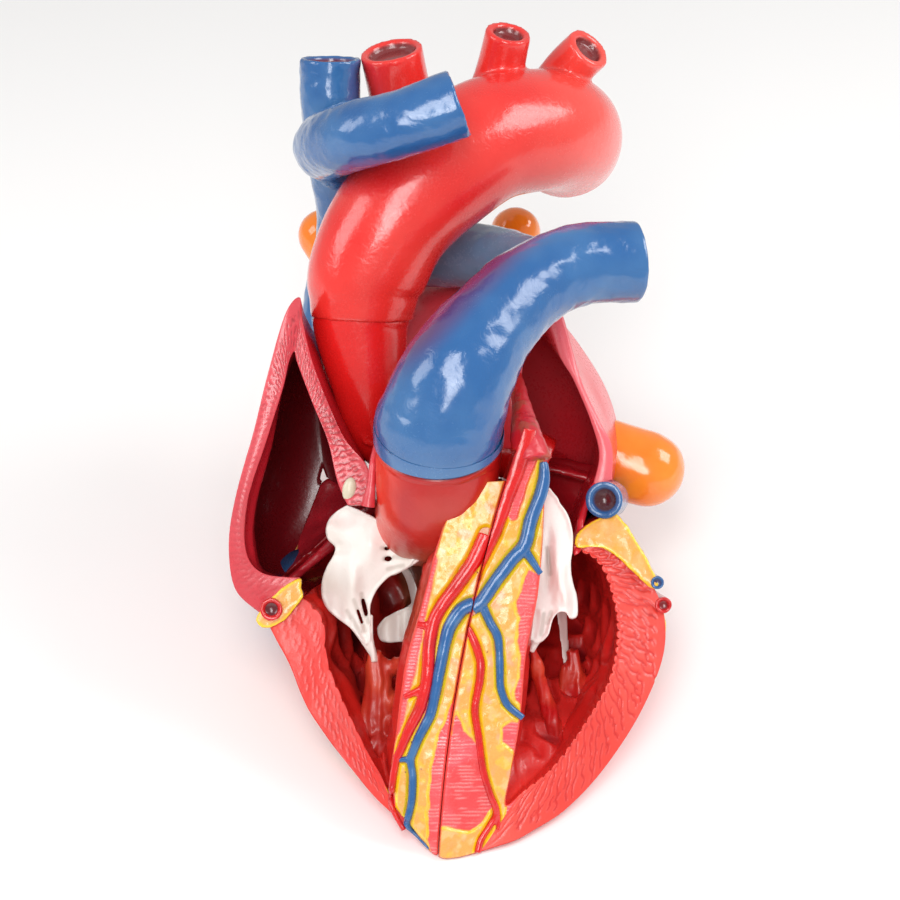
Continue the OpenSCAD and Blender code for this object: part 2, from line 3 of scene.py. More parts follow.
import bmesh
import bpy
import numpy as np
from mathutils import Matrix, Vector, kdtree, noise


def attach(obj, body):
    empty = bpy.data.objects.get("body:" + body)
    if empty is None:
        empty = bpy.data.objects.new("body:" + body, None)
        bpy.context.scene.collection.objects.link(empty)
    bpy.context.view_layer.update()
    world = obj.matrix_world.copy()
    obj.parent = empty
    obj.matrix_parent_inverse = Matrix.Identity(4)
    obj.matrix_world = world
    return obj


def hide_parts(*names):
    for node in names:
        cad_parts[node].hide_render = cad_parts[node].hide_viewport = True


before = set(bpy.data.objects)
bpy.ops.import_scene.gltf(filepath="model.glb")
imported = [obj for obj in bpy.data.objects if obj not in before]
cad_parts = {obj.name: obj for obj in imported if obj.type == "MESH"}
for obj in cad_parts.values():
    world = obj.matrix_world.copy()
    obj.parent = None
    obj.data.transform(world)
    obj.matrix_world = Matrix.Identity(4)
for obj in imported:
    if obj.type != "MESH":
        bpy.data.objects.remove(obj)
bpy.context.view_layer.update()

print("frame loaded")

# Shapes are drawn in the heart's own millimetres, [to its left, away from the viewer, up its
# length], and toTable leans them back onto the table as the solids are.
standing = {"lean": 38, "side": 8, "depth": 15, "apexHeight": 145, "apexDepth": 9, "gap": 0.3}
tilt = math.radians(standing["lean"])
upward = np.array([0, -math.sin(tilt), math.cos(tilt)])
floorRise = (standing["apexHeight"] * math.cos(tilt)
             - standing["apexDepth"] * math.sin(tilt) + 1)
toTable = (Matrix.Scale(0.001, 4)
           @ Matrix.Translation((standing["side"], standing["depth"], floorRise))
           @ Matrix.Rotation(-tilt, 4, "X"))

# the photograph's view
photoView = {"away": 900, "lens": 100, "pixel": 0.36, "centre": 450}   # mm, mm, mm, pixels
cameraData = bpy.data.cameras.new("photoCamera")
cameraData.lens = photoView["lens"]
cameraData.sensor_width = 36
camera = bpy.data.objects.new("photoCamera", cameraData)
bpy.context.collection.objects.link(camera)
camera.matrix_world = (Matrix.Translation(toTable @ Vector((0, -photoView["away"], 0)))
                       @ Matrix.Rotation(math.radians(90) - tilt, 4, "X"))
bpy.context.scene.camera = camera
print("camera set")


# colours and finishes
def paint(red, green, blue):
    return tuple(((c / 255 + 0.055) / 1.055) ** 2.4 if c > 10 else c / 255 / 12.92
                 for c in (red, green, blue)) + (1.0,)


colours = {
    "aorta": paint(222, 30, 28), "aortaPale": paint(240, 92, 80), "aortaDeep": paint(176, 14, 18),
    "blue": paint(36, 92, 150), "bluePale": paint(92, 140, 184), "blueDeep": paint(18, 50, 96),
    "greyBlue": paint(110, 138, 165), "purple": paint(98, 48, 96),
    "maroon": paint(122, 44, 46), "maroonDeep": paint(84, 22, 30),
    "muscle": paint(222, 44, 36), "muscleDeep": paint(170, 16, 22),
    "muscleDark": paint(84, 10, 16),
    "leftMuscle": paint(232, 60, 50), "leftPale": paint(240, 96, 84),
    "leftDeep": paint(196, 26, 30), "leftDark": paint(120, 12, 20),
    "atrium": paint(206, 40, 54), "atriumPale": paint(214, 92, 100),
    "atriumDark": paint(96, 8, 16),
    "leftAtrium": paint(236, 44, 58), "leftAtriumPale": paint(240, 120, 128),
    "leftAtriumDeep": paint(186, 20, 34),
    "fat": paint(232, 166, 84), "fatPale": paint(242, 192, 130), "fatGold": paint(228, 168, 56),
    "outline": paint(250, 212, 28), "pink": paint(232, 84, 92), "pinkPale": paint(248, 160, 160),
    "coronary": paint(214, 18, 20), "coronaryDeep": paint(166, 12, 20),
    "ivory": paint(222, 214, 204), "white": paint(246, 242, 238),
    "shadowIvory": paint(170, 158, 146),
    "papilla": paint(186, 50, 36), "papillaPale": paint(224, 92, 52),
    "orange": paint(246, 126, 20),
    "orangePale": paint(252, 168, 66), "cream": paint(214, 206, 182), "tan": paint(150, 96, 64),
    "conusRed": paint(178, 22, 22), "conusPaintedLight": paint(232, 62, 40),
}


def nodeAt(tree, kind, values=None, **settings):
    made = tree.nodes.new(kind)
    for name, value in settings.items():
        setattr(made, name, value)
    for name, value in (values or {}).items():
        made.inputs[name].default_value = value
    return made


def brushedPaintGroup():
    # hand-brushed enamel: crinkled height, cloudy colour mask and patchy gloss
    group = bpy.data.node_groups.new("brushedPaint", "ShaderNodeTree")
    for name, kind in (("Position", "NodeSocketVector"), ("Crinkle", "NodeSocketFloat"),
                       ("Cloud", "NodeSocketFloat")):
        group.interface.new_socket(name, in_out="INPUT", socket_type=kind)
    for name in ("Height", "Cloud", "Gloss"):
        group.interface.new_socket(name, in_out="OUTPUT", socket_type="NodeSocketFloat")
    inside = group.nodes.new("NodeGroupInput")
    outside = group.nodes.new("NodeGroupOutput")
    link = group.links.new
    crinkle = nodeAt(group, "ShaderNodeTexNoise",
                     {"Detail": 3.0, "Roughness": 0.55, "Distortion": 0.9})
    link(inside.outputs["Position"], crinkle.inputs["Vector"])
    link(inside.outputs["Crinkle"], crinkle.inputs["Scale"])
    cloud = nodeAt(group, "ShaderNodeTexNoise", {"Detail": 4.0, "Roughness": 0.6})
    link(inside.outputs["Position"], cloud.inputs["Vector"])
    link(inside.outputs["Cloud"], cloud.inputs["Scale"])
    patchy = nodeAt(group, "ShaderNodeMapRange", {"From Min": 0.35, "From Max": 0.7})
    link(cloud.outputs["Fac"], patchy.inputs["Value"])
    fine = nodeAt(group, "ShaderNodeTexNoise", {"Scale": 900.0, "Detail": 2.0})
    link(inside.outputs["Position"], fine.inputs["Vector"])
    gloss = nodeAt(group, "ShaderNodeMath", operation="MULTIPLY")
    link(fine.outputs["Fac"], gloss.inputs[0])
    link(cloud.outputs["Fac"], gloss.inputs[1])
    link(crinkle.outputs["Fac"], outside.inputs["Height"])
    link(patchy.outputs["Result"], outside.inputs["Cloud"])
    link(gloss.outputs["Value"], outside.inputs["Gloss"])
    return group


brushedPaint = brushedPaintGroup()
enamelLook = {"contrast": 0.5, "coatRough": 0.12, "shinier": 0.07, "duller": 0.12, "dent": 0.0006}


def enamel(name, main, second, rough, crinkle, cloud=45.0, bump=0.25, coat=0.35):
    # one painted-plastic finish; without a main colour it takes the piece's own paint attribute
    made = bpy.data.materials.new(name)
    made.use_nodes = True
    tree = made.node_tree
    link = tree.links.new
    skin = tree.nodes["Principled BSDF"]
    skin.inputs["Roughness"].default_value = rough
    skin.inputs["Coat Weight"].default_value = coat
    skin.inputs["Coat Roughness"].default_value = enamelLook["coatRough"]
    place = nodeAt(tree, "ShaderNodeTexCoord")
    brush = nodeAt(tree, "ShaderNodeGroup", node_tree=brushedPaint)
    brush.inputs["Crinkle"].default_value = crinkle
    brush.inputs["Cloud"].default_value = cloud
    link(place.outputs["Object"], brush.inputs["Position"])
    mix = nodeAt(tree, "ShaderNodeMix", data_type="RGBA")
    fade = nodeAt(tree, "ShaderNodeMath", operation="MULTIPLY")
    fade.inputs[1].default_value = enamelLook["contrast"]
    link(brush.outputs["Cloud"], fade.inputs[0])
    link(fade.outputs["Value"], mix.inputs["Factor"])
    if main is None:
        ownPaint = nodeAt(tree, "ShaderNodeAttribute", attribute_name="paint")
        darker = nodeAt(tree, "ShaderNodeMix", data_type="RGBA", blend_type="MULTIPLY")
        darker.inputs["Factor"].default_value = 1.0
        darker.inputs[7].default_value = second
        link(ownPaint.outputs["Color"], mix.inputs[6])
        link(ownPaint.outputs["Color"], darker.inputs[6])
        link(darker.outputs[2], mix.inputs[7])
    else:
        mix.inputs[6].default_value = main
        mix.inputs[7].default_value = second
    link(mix.outputs[2], skin.inputs["Base Color"])
    shine = nodeAt(tree, "ShaderNodeMapRange", {"From Min": 0.1, "From Max": 0.45,
                                                "To Min": rough - enamelLook["shinier"],
                                                "To Max": rough + enamelLook["duller"]})
    link(brush.outputs["Gloss"], shine.inputs["Value"])
    link(shine.outputs["Result"], skin.inputs["Roughness"])
    dent = nodeAt(tree, "ShaderNodeBump", {"Strength": bump, "Distance": enamelLook["dent"]})
    link(brush.outputs["Height"], dent.inputs["Height"])
    link(dent.outputs["Normal"], skin.inputs["Normal"])
    return made


# lines, tubes and skins
def along(points, u):
    last = len(points) - 1
    i = min(max(int(u), 0), last - 1)
    f = u - i
    a, b, c, d = (np.asarray(points[min(max(i + k, 0), last)], float) for k in (-1, 0, 1, 2))
    return 0.5 * (2 * b + (c - a) * f + (2 * a - 5 * b + 4 * c - d) * f * f
                  + (3 * b - a - 3 * c + d) * f ** 3)


def smoothLine(points, steps):
    return [along(points, i * (len(points) - 1) / steps) for i in range(steps + 1)]


def unit(v):
    return v / max(np.linalg.norm(v), 1e-9)


def stations(path, radii, steps, start=(0.2, 1, 0.1)):
    # a matrix for each ring of a tube, carried along without twist
    centres = smoothLine(path, steps)
    sizes = [float(along(radii, i * (len(radii) - 1) / steps)) for i in range(steps + 1)]
    normal = np.array(start, float)
    rings = []
    for i, centre in enumerate(centres):
        way = unit(centres[min(i + 1, steps)] - centres[max(i - 1, 0)])
        normal = unit(normal - way * normal.dot(way))
        side = np.cross(way, normal)
        turn = np.array([normal, side, way]).T * sizes[i]
        matrix = Matrix.Identity(4)
        for row in range(3):
            for column in range(3):
                matrix[row][column] = turn[row][column]
            matrix[row][3] = centre[row]
        rings.append((matrix, sizes[i], way))
    return rings


def edgesOf(verts):
    # edges between these points, in the same order on each run
    known = set(verts)
    return list(dict.fromkeys(e for v in verts for e in v.link_edges if e.other_vert(v) in known))


def pushRing(bm, verts, matrix):
    grown = bmesh.ops.extrude_edge_only(bm, edges=edgesOf(verts))
    fresh = [g for g in grown["geom"] if isinstance(g, bmesh.types.BMVert)]
    bmesh.ops.transform(bm, matrix=matrix, verts=fresh)
    return fresh


def closeRing(bm, verts):
    bmesh.ops.edgeloop_fill(bm, edges=edgesOf(verts))


def lumenEnd(bm, verts, matrix, radius, inward, wall, depth):
    # rim, bevelled lip and the recessed painted disc of a cut vessel
    local = matrix.inverted()
    steps = ((1 - 0.10 * wall / radius, 0.25), (1 - 0.75 * wall / radius, 0.3),
             (1 - wall / radius, -0.25), (1 - (wall + 0.5) / radius, -depth))
    spot, scale = 0.0, 1.0
    for size, out in steps:
        move = matrix @ Matrix.Scale(size / scale, 4) @ local
        verts = pushRing(bm, verts, Matrix.Translation(Vector(inward) * (spot - out)) @ move)
        spot, scale = out, size
    closeRing(bm, verts)


def tube(bm, path, radii, steps, sides=40, near=None, far=None, start=(0.2, 1, 0.1)):
    rings = stations(path, radii, steps, start)
    first = bmesh.ops.create_circle(bm, cap_ends=False, segments=sides, radius=1,
                                    matrix=rings[0][0])["verts"]
    verts = first
    for before, after in zip(rings, rings[1:]):
        verts = pushRing(bm, verts, after[0] @ before[0].inverted())
    for ring, spec, ends in ((rings[-1], far, verts), (rings[0], near, first)):
        if spec:
            inward = ring[2] * (-1 if ends is verts else 1)
            lumenEnd(bm, ends, ring[0], ring[1], inward, spec[0], spec[1])
        else:
            closeRing(bm, ends)
    return rings


def skinned(bm, voxel, evening):
    # one even skin over all the overlapping shells in the bmesh
    bmesh.ops.recalc_face_normals(bm, faces=bm.faces)
    rough = bpy.data.meshes.new("roughShape")
    bm.to_mesh(rough)
    bm.free()
    holder = bpy.data.objects.new("roughShape", rough)
    bpy.context.collection.objects.link(holder)
    remesh = holder.modifiers.new("evenSkin", "REMESH")
    remesh.mode = "VOXEL"
    remesh.voxel_size = voxel
    smooth = holder.modifiers.new("soften", "SMOOTH")
    smooth.iterations = evening
    found = holder.evaluated_get(bpy.context.evaluated_depsgraph_get())
    mesh = bpy.data.meshes.new_from_object(found)
    bpy.data.objects.remove(holder)
    bpy.data.meshes.remove(rough)
    return mesh


def coordinates(mesh):
    spots = np.zeros(len(mesh.vertices) * 3)
    mesh.vertices.foreach_get("co", spots)
    return spots.reshape(-1, 3)


def normals(mesh):
    ways = np.zeros(len(mesh.vertices) * 3)
    mesh.vertex_normals.foreach_get("vector", ways)
    return ways.reshape(-1, 3)


def moveVerts(mesh, spots):
    mesh.vertices.foreach_set("co", spots.ravel())
    mesh.update()


def paintVerts(mesh, shades):
    layer = mesh.color_attributes.new(name="paint", type="FLOAT_COLOR", domain="POINT")
    full = np.ones((len(mesh.vertices), 4), np.float32)
    full[:, :3] = shades[:, :3]
    layer.data.foreach_set("color", full.ravel())


def cloudy(spots, size, octaves=3, seed=0.0):
    # smooth noise of that size in mm at each point, about -1 to 1
    shift = Vector((seed, seed * 0.7, -seed))
    return np.array([noise.fractal(Vector(p) / size + shift, 1.0, 2.0, octaves) for p in spots])


def cells(spots, size, seed=0.0):
    # how far each point is from the nearest cell border, 0 on the border
    shift = Vector((seed, seed * 0.7, -seed))
    out = np.zeros(len(spots))
    for i, p in enumerate(spots):
        near = noise.voronoi(Vector(p) / size + shift)[0]
        out[i] = near[1] - near[0]
    return out


def blendTo(one, other, share):
    share = np.clip(share, 0, 1)[:, None]
    return one * (1 - share) + other * share


def tint(name):
    return np.array(colours[name][:3])


def washed(hue, *layers):
    # brushes a colour, then how much of it shows, over hue, as often as wanted; an odd name in
    # front is the base colour, for as many points as hue has
    if len(layers) % 2:
        hue, layers = np.tile(tint(layers[0]), (len(hue), 1)), layers[1:]
    for name, share in zip(layers[::2], layers[1::2]):
        hue = blendTo(hue, tint(name), share)
    return hue


def step(low, high, values):
    t = np.clip((values - low) / (high - low), 0, 1)
    return t * t * (3 - 2 * t)


def finishPiece(mesh, name, body, slot, material, nodes=()):
    # stands the shape on the table and hands it to the frame
    mesh.name = name
    mesh.transform(toTable)
    mesh.materials.clear()
    mesh.materials.append(material)
    mesh.shade_smooth()
    piece = bpy.data.objects.new(name, mesh)
    bpy.context.collection.objects.link(piece)
    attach(piece, body)
    if nodes:
        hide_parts(*nodes)


def meshOf(bm, even=True):
    mesh = bpy.data.meshes.new("shape")
    if even:
        bmesh.ops.recalc_face_normals(bm, faces=bm.faces)
    bm.to_mesh(mesh)
    bm.free()
    return mesh


# shapes shared with the solids
def curveAt(points, u):
    # points of a smooth line at the numbers u along its control points
    q = np.asarray(points, float)
    last = len(q) - 1
    i = np.clip(np.floor(u).astype(int), 0, last - 1)
    f = (u - i)[:, None]
    a, b, c, d = (q[np.clip(i + k, 0, last)] for k in (-1, 0, 1, 2))
    return 0.5 * (2 * b + (c - a) * f + (2 * a - 5 * b + 4 * c - d) * f ** 2
                  + (3 * b - a - 3 * c + d) * f ** 3)


def keepAbove(spots, least):
    height = spots @ upward + floorRise
    return spots + np.maximum(least - height, 0)[:, None] * upward


def splitX(height):
    return 23.4 + 0.33 * height + 0.00096 * height ** 2


def bowlPair(spec):
    # outer and inner surface of a ventricle, by number along the edge and share of the way back
    def surface(edge, pole, back, least, s, t):
        turn = np.radians(88 * t)
        shrink, deep = np.cos(turn) ** 0.77, np.sin(turn) ** 0.77
        rim = curveAt(edge, s)
        spots = np.stack([pole[0] + (rim[:, 0] - pole[0]) * shrink,
                          rim[:, 1] + (back - rim[:, 1]) * deep,
                          pole[1] + (rim[:, 2] - pole[1]) * shrink], 1)
        return keepAbove(spots, least)

    def outer(s, t):
        spots = surface(spec["outer"], spec["poles"][0], spec["backs"][0], 0, s, t)
        side = spec["side"]
        split = splitX(spots[:, 2]) + side * standing["gap"] / 2
        kept = np.maximum(spots[:, 0] * side, split * side) * side
        spots[:, 0] = np.where(s >= spec["splitFrom"], split, kept)
        return spots

    def inner(s, t):
        return surface(spec["inner"], spec["poles"][1], spec["backs"][1], 9, s, t)
    return outer, inner


def deepPair(spec):
    # outer and inner surface of an atrium, which swells through a middle section
    def surface(edge, middle, back, s, t):
        share = np.sin(np.minimum(t, 0.5) * math.pi)[:, None]
        turn = np.radians(176 * np.maximum(t - 0.5, 0))
        shrink, deep = np.cos(turn) ** 0.85, np.sin(turn) ** 0.85
        rim = curveAt(edge, s)
        rim = rim + (curveAt(middle, s) - rim) * share
        pole = spec["pole"]
        return np.stack([pole[0] + (rim[:, 0] - pole[0]) * shrink,
                         rim[:, 1] + (back - rim[:, 1]) * deep,
                         pole[1] + (rim[:, 2] - pole[1]) * shrink], 1)

    middle = np.array(spec["middle"], float)
    pull = spec["pull"]
    inside = middle + np.stack([(pull[0] - middle[:, 0]) * pull[2], np.full(len(middle), pull[4]),
                                (pull[1] - middle[:, 2]) * pull[3]], 1)
    return (lambda s, t: surface(spec["outer"], middle, spec["back"], s, t),
            lambda s, t: surface(spec["inner"], inside, spec["back"] - 7, s, t))


def evenly(curve, low, high, count):
    fine = np.linspace(low, high, 800)
    steps = np.linalg.norm(np.diff(curve(fine), axis=0), axis=1)
    run = np.concatenate([[0], np.cumsum(steps)])
    return np.interp(np.linspace(0, run[-1], count + 1), run, fine), run[-1]


class ShellSheet:
    # a chamber wall as one sheet: in along the outside, over the cut face and back down the inside
    def __init__(self, pair, span, steps, rows):
        outer, inner = pair
        bm = bmesh.new()
        total = sum(rows) + 1
        bmesh.ops.create_grid(bm, x_segments=steps, y_segments=total, size=1)
        self.mesh = meshOf(bm, False)
        place = coordinates(self.mesh)
        i = np.rint((place[:, 0] + 1) / 2 * steps).astype(int)
        j = np.rint((place[:, 1] + 1) / 2 * total).astype(int)
        middle = lambda s: (outer(s, s * 0) + inner(s, s * 0)) / 2
        evenS, self.length = evenly(middle, 0, span, steps)
        probe = evenS[steps // 3]
        outT, self.outRun = evenly(lambda t: outer(t * 0 + probe, t), 0, 1, rows[0])
        inT, self.inRun = evenly(lambda t: inner(t * 0 + probe, t), 0, 1, rows[2])
        rowT = np.concatenate([outT[::-1], np.zeros(rows[1] - 1), inT, [1.0]])
        rowU = np.concatenate([np.zeros(rows[0] + 1), np.linspace(0, 1, rows[1] + 1)[1:-1],
                               np.ones(rows[2] + 1), [0.0]])
        self.s, self.t, self.u = evenS[i], rowT[j], rowU[j]
        self.run = i / steps * self.length
        self.isOut = j <= rows[0]
        self.isCut = (j >= rows[0]) & (j <= rows[0] + rows[1])
        self.isIn = (j >= rows[0] + rows[1]) & (j < total)
        self.free = (j > 0) & (j < total) & (i > 0) & (i < steps)
        a, b = outer(self.s, self.t), inner(self.s, self.t)
        self.spots = a * (1 - self.u)[:, None] + b * self.u[:, None]
        self.width = np.linalg.norm(inner(self.s, self.t * 0) - outer(self.s, self.t * 0), axis=1)
        self.deep = np.where(self.isIn, self.t * self.inRun,
                             np.where(self.isOut, self.t * self.outRun, 0))
        moveVerts(self.mesh, self.spots)
        self.out = normals(self.mesh)
        middle = self.isCut & (self.t == 0) & (np.abs(self.u - 0.5) < 0.3)
        if np.mean(self.out[middle][:, 1]) > 0:
            self.mesh.flip_normals()
            self.out = normals(self.mesh)

    def close(self, heights, shades, shift=None):
        spots = self.spots + self.out * np.where(self.free, heights, 0)[:, None]
        if shift is not None:
            spots = spots + shift * self.free[:, None]
        moveVerts(self.mesh, keepAbove(spots, 0))
        paintVerts(self.mesh, shades)
        bm = bmesh.new()
        bm.from_mesh(self.mesh)
        bmesh.ops.remove_doubles(bm, verts=bm.verts, dist=0.002)
        rims = [e for e in bm.edges if e.is_boundary]
        filled = bmesh.ops.holes_fill(bm, edges=rims, sides=0)["faces"]
        bmesh.ops.triangulate(bm, faces=filled)
        bmesh.ops.recalc_face_normals(bm, faces=bm.faces)
        bm.to_mesh(self.mesh)
        bm.free()
        return self.mesh


def nearest(points, targets):
    # distance from each point to the nearest target, in two or three numbers each
    tree = kdtree.KDTree(len(targets))
    wide = np.zeros((len(targets), 3))
    wide[:, :targets.shape[1]] = targets
    for k, one in enumerate(wide):
        tree.insert(one, k)
    tree.balance()
    query = np.zeros((len(points), 3))
    query[:, :points.shape[1]] = points
    found = [tree.find(one) for one in query]
    return np.array([f[2] for f in found]), np.array([f[1] for f in found])


def wormStrokes(sheet, pitch, length, lean, rows, seed, swirl=0.9):
    # short curved brush strokes across a cut face, as points of (run, distance from outer rim)
    dice = np.random.RandomState(seed)
    marks = []
    for row, (share, reach) in enumerate(rows):
        place = dice.uniform(0, pitch)
        while place < sheet.length:
            k = np.argmin(np.abs(sheet.run - place) + 50 * (sheet.t > 0))
            wide = sheet.width[k]
            reachNow = length * reach * dice.uniform(0.7, 1.25)
            angle = lean + dice.uniform(-0.25, 0.25)
            q = np.linspace(0, 1, 16)
            bend = swirl * dice.uniform(0.5, 1.2) * np.sin(q * math.pi * dice.uniform(1.2, 2.2))
            begin = wide * (share + dice.uniform(-0.05, 0.05))
            marks.append(np.stack([place + np.cos(angle) * reachNow * q + bend,
                                   begin - np.sin(angle) * reachNow * q], 1))
            place += pitch * dice.uniform(0.75, 1.25)
    return np.concatenate(marks)


def cutPlace(sheet, chosen):
    return np.stack([sheet.run[chosen], sheet.u[chosen] * sheet.width[chosen]], 1)


# from photo pixels to millimetres and back
def pixelSize(depth):
    return photoView["pixel"] * (photoView["away"] + depth) / photoView["away"]


def fromPhoto(pixels, depth):
    # a point seen at these photo pixels, lying this deep in the heart's own frame
    grow, centre = pixelSize(depth), photoView["centre"]
    return np.array([(pixels[0] - centre) * grow, depth, (centre - pixels[1]) * grow])


def toPhoto(spots):
    grow, centre = pixelSize(spots[:, 1]), photoView["centre"]
    return np.stack([centre + spots[:, 0] / grow, centre - spots[:, 2] / grow], 1)


def offLine(places, line, radii=(0,)):
    # how far each place is outside a line as thick as its radii
    line = np.asarray(line, float)
    thick = np.interp(np.linspace(0, 1, len(line)), np.linspace(0, 1, len(radii)), radii)
    best = np.full(len(places), 1e9)
    for a, b, ra, rb in zip(line, line[1:], thick, thick[1:]):
        way = b - a
        share = np.clip((places - a) @ way / (way @ way), 0, 1)
        gone = np.linalg.norm(places - a - share[:, None] * way, axis=1)
        best = np.minimum(best, gone - (ra + (rb - ra) * share))
    return best


def offPatch(places, outline):
    # distance outside a closed outline, less than 0 inside it
    outline = np.asarray(outline, float)
    around = np.vstack([outline, outline[:1]])
    inside = np.zeros(len(places), bool)
    for a, b in zip(around, around[1:]):
        crosses = (a[1] > places[:, 1]) != (b[1] > places[:, 1])
        rise = b[1] - a[1] if abs(b[1] - a[1]) > 1e-9 else 1e-9
        inside ^= crosses & (places[:, 0] < (b[0] - a[0]) * (places[:, 1] - a[1]) / rise + a[0])
    far = offLine(places, around)
    return np.where(inside, -far, far)


def smoothed(points, count):
    return curveAt(points, np.linspace(0, len(points) - 1, count))


def loft(bm, rings, ends=(True, True)):
    # skin through rings of points
    first = bmesh.ops.create_circle(bm, cap_ends=False, segments=len(rings[0]), radius=1)["verts"]
    for vert, spot in zip(first, rings[0]):
        vert.co = spot
    current = list(first)
    for ring in rings[1:]:
        grown = bmesh.ops.extrude_edge_only(bm, edges=edgesOf(current))
        fresh = {g for g in grown["geom"] if isinstance(g, bmesh.types.BMVert)}
        current = [next(e.other_vert(v) for e in v.link_edges if e.other_vert(v) in fresh)
                   for v in current]
        for vert, spot in zip(current, ring):
            vert.co = spot
    for wanted, verts in zip(ends, (first, current)):
        if wanted:
            closeRing(bm, verts)


# aorta: root, arch and its three branches
aorta = {
    "seam": np.array([-33, 34, 50.0]), "seamWay": unit(np.array([0.06, -0.12, 1])),
    "arch": [[-33, 34, 50.5], [-31, 32, 66], [-22, 29, 85], [-7, 31, 101], [13, 39, 116],
             [34, 54, 122], [44, 72, 123], [46, 90, 121]],
    "archRadii": (18.9, 19.9, 22, 22.9, 23.5, 23.5, 23.2, 22.6, 21.5),
    "root": [[-33, 34, 50], [-31, 36, 28], [-29, 40, 12], [-22, 47, 2], [0, 52, 1],
             [22, 54, 0], [36, 55, -6]],
    "rootRadii": (18.2, 17.6, 14.6, 11.4, 10.6, 10.5, 10.8, 11.2),
    "ostium": ([[-30.6, 38.5, 8], [-30, 34.5, 5.5], [-29.6, 31.8, 4.4]], (4.6, 3.7, 3.2)),
    "branches": (([[-9, 42, 106], [-17, 50, 128], [-22, 39, 150]], (13.4, 11.9, 11.9)),
                 ([[14, 50, 120], [18, 51, 140], [22, 40, 157]], (14.2, 9.6, 8.6)),
                 ([[35, 61, 126], [44, 61, 144], [53, 52, 153]], (13.4, 9.6, 8.8))),
    "voxel": 0.9, "wall": 2.9, "lumen": 3,
}


def lumenShare(spots, ends, wall):
    # marks the recessed discs of cut vessels: ends are (centre, way out, radius)
    share = np.zeros(len(spots))
    for centre, way, radius in ends:
        off = spots - centre
        out = off @ way
        around = np.linalg.norm(off - out[:, None] * way, axis=1)
        share = np.maximum(share, step(radius - wall + 0.5, radius - wall - 0.3, around)
                           * step(-0.1, -1.3, out) * (out > -9))
    return share


def endOf(rings):
    return np.array(rings[-1][0].translation), rings[-1][2], rings[-1][1]


def makeAorta():
    bm = bmesh.new()
    seam, way = aorta["seam"], aorta["seamWay"]
    rings = tube(bm, [seam - 1.1 * way, seam + 5 * way] + aorta["arch"][1:], aorta["archRadii"],
                 60, 72, far=(aorta["wall"], aorta["lumen"]), start=(0.1, 1, 0.2))
    ends = [endOf(rings)]
    for line, sizes in aorta["branches"]:
        ends.append(endOf(tube(bm, line, sizes, 16, 48, far=(aorta["wall"], aorta["lumen"]))))
    mesh = skinned(bm, aorta["voxel"], 4)
    spots, out = coordinates(mesh), normals(mesh)
    share = lumenShare(spots, ends, aorta["wall"])
    spots = spots + out * (cloudy(spots, 34, 2, 3.1) * 0.4)[:, None]
    moveVerts(mesh, spots)
    # painted highlight: the arch's upper right is painted paler, and random pale mottle lies over
    # all of it
    hue = washed(spots, "aorta",
                 "aortaPale", step(25, 62, spots[:, 0]) * step(60, 100, spots[:, 2]) * 0.75,
                 "aortaPale", 0.18 + 0.2 * cloudy(spots, 26, 3, 1.7))
    paintVerts(mesh, blendTo(hue, tint("maroon"), share))
    finishPiece(mesh, "aortaArch", "left_half", "aorta_red", aortaPaint,
                ["aortic_arch", "brachiocephalic_trunk", "left_common_carotid_artery",
                 "left_subclavian_artery"])

    bm = bmesh.new()
    path = [seam + 1.2 * way, seam - 5 * way] + aorta["root"][1:]
    tube(bm, path, aorta["rootRadii"], 50, 64, start=(0.1, 1, 0.2))
    line, sizes = aorta["ostium"]
    nub = tube(bm, line, sizes, 8, 28, far=(1.5, 2.2))
    mesh = skinned(bm, 0.7, 3)
    spots = coordinates(mesh)
    # painted shade: the root is painted darker towards its bottom, deep inside the heart
    hue = washed(spots, "aorta",
                 "aortaDeep", step(30, -6, spots[:, 2]) * 0.45)
    paintVerts(mesh, blendTo(hue, tint("maroonDeep"), lumenShare(spots, [endOf(nub)], 1.4)))
    finishPiece(mesh, "aortaRoot", "left_half", "aorta_red", aortaPaint,
                ["aortic_root", "coronary_ostium"])


aortaPaint = enamel("aortaEnamel", None, (0.84, 0.74, 0.74, 1), rough=0.22, crinkle=300, bump=0.32,
                    coat=0.5)
makeAorta()
print("aorta done")

# the four chambers
rightVentricle = {
    "outer": [[-66, 18, -65], [-59, 15, -78], [-53, 12, -92], [-42, 7, -108], [-28, 1, -124],
              [-14, -5, -136], [-4, -9, -144], [-1, -12, -124], [1, -13, -101], [4, -14, -79],
              [6, -14, -58], [12, -13, -34], [20, -10, -11]],
    "inner": [[-54, 18, -54], [-46.5, 16, -62], [-44.5, 13, -77], [-39, 10, -91], [-31, 5, -107],
              [-25, -1, -117], [-20, -7, -127], [-21, -9, -114], [-18.5, -11, -97],
              [-16, -12, -78], [-11.5, -12, -60], [-5, -12, -36], [2, -10, -12]],
    "poles": ((15.5, -26), (0, -26)), "backs": (100, 86), "splitFrom": 6, "side": -1,
    "steps": 420, "rows": (24, 34, 70), "stripFrom": 5.5, "behind": 0.42, "span": 12.0,
    "strokes": (3.4, 2.8, 0.8, ((0.8, 1.0), (0.5, 0.8), (0.28, 0.7)), 5, 0.5), "strokeWidth": 0.42,
    "net": (13, 9.0, 5), "scallop": (7.5, 1.0),
    "shelf": [[396, 530], [432, 548], [424, 600], [412, 640], [404, 628], [398, 590]],
}
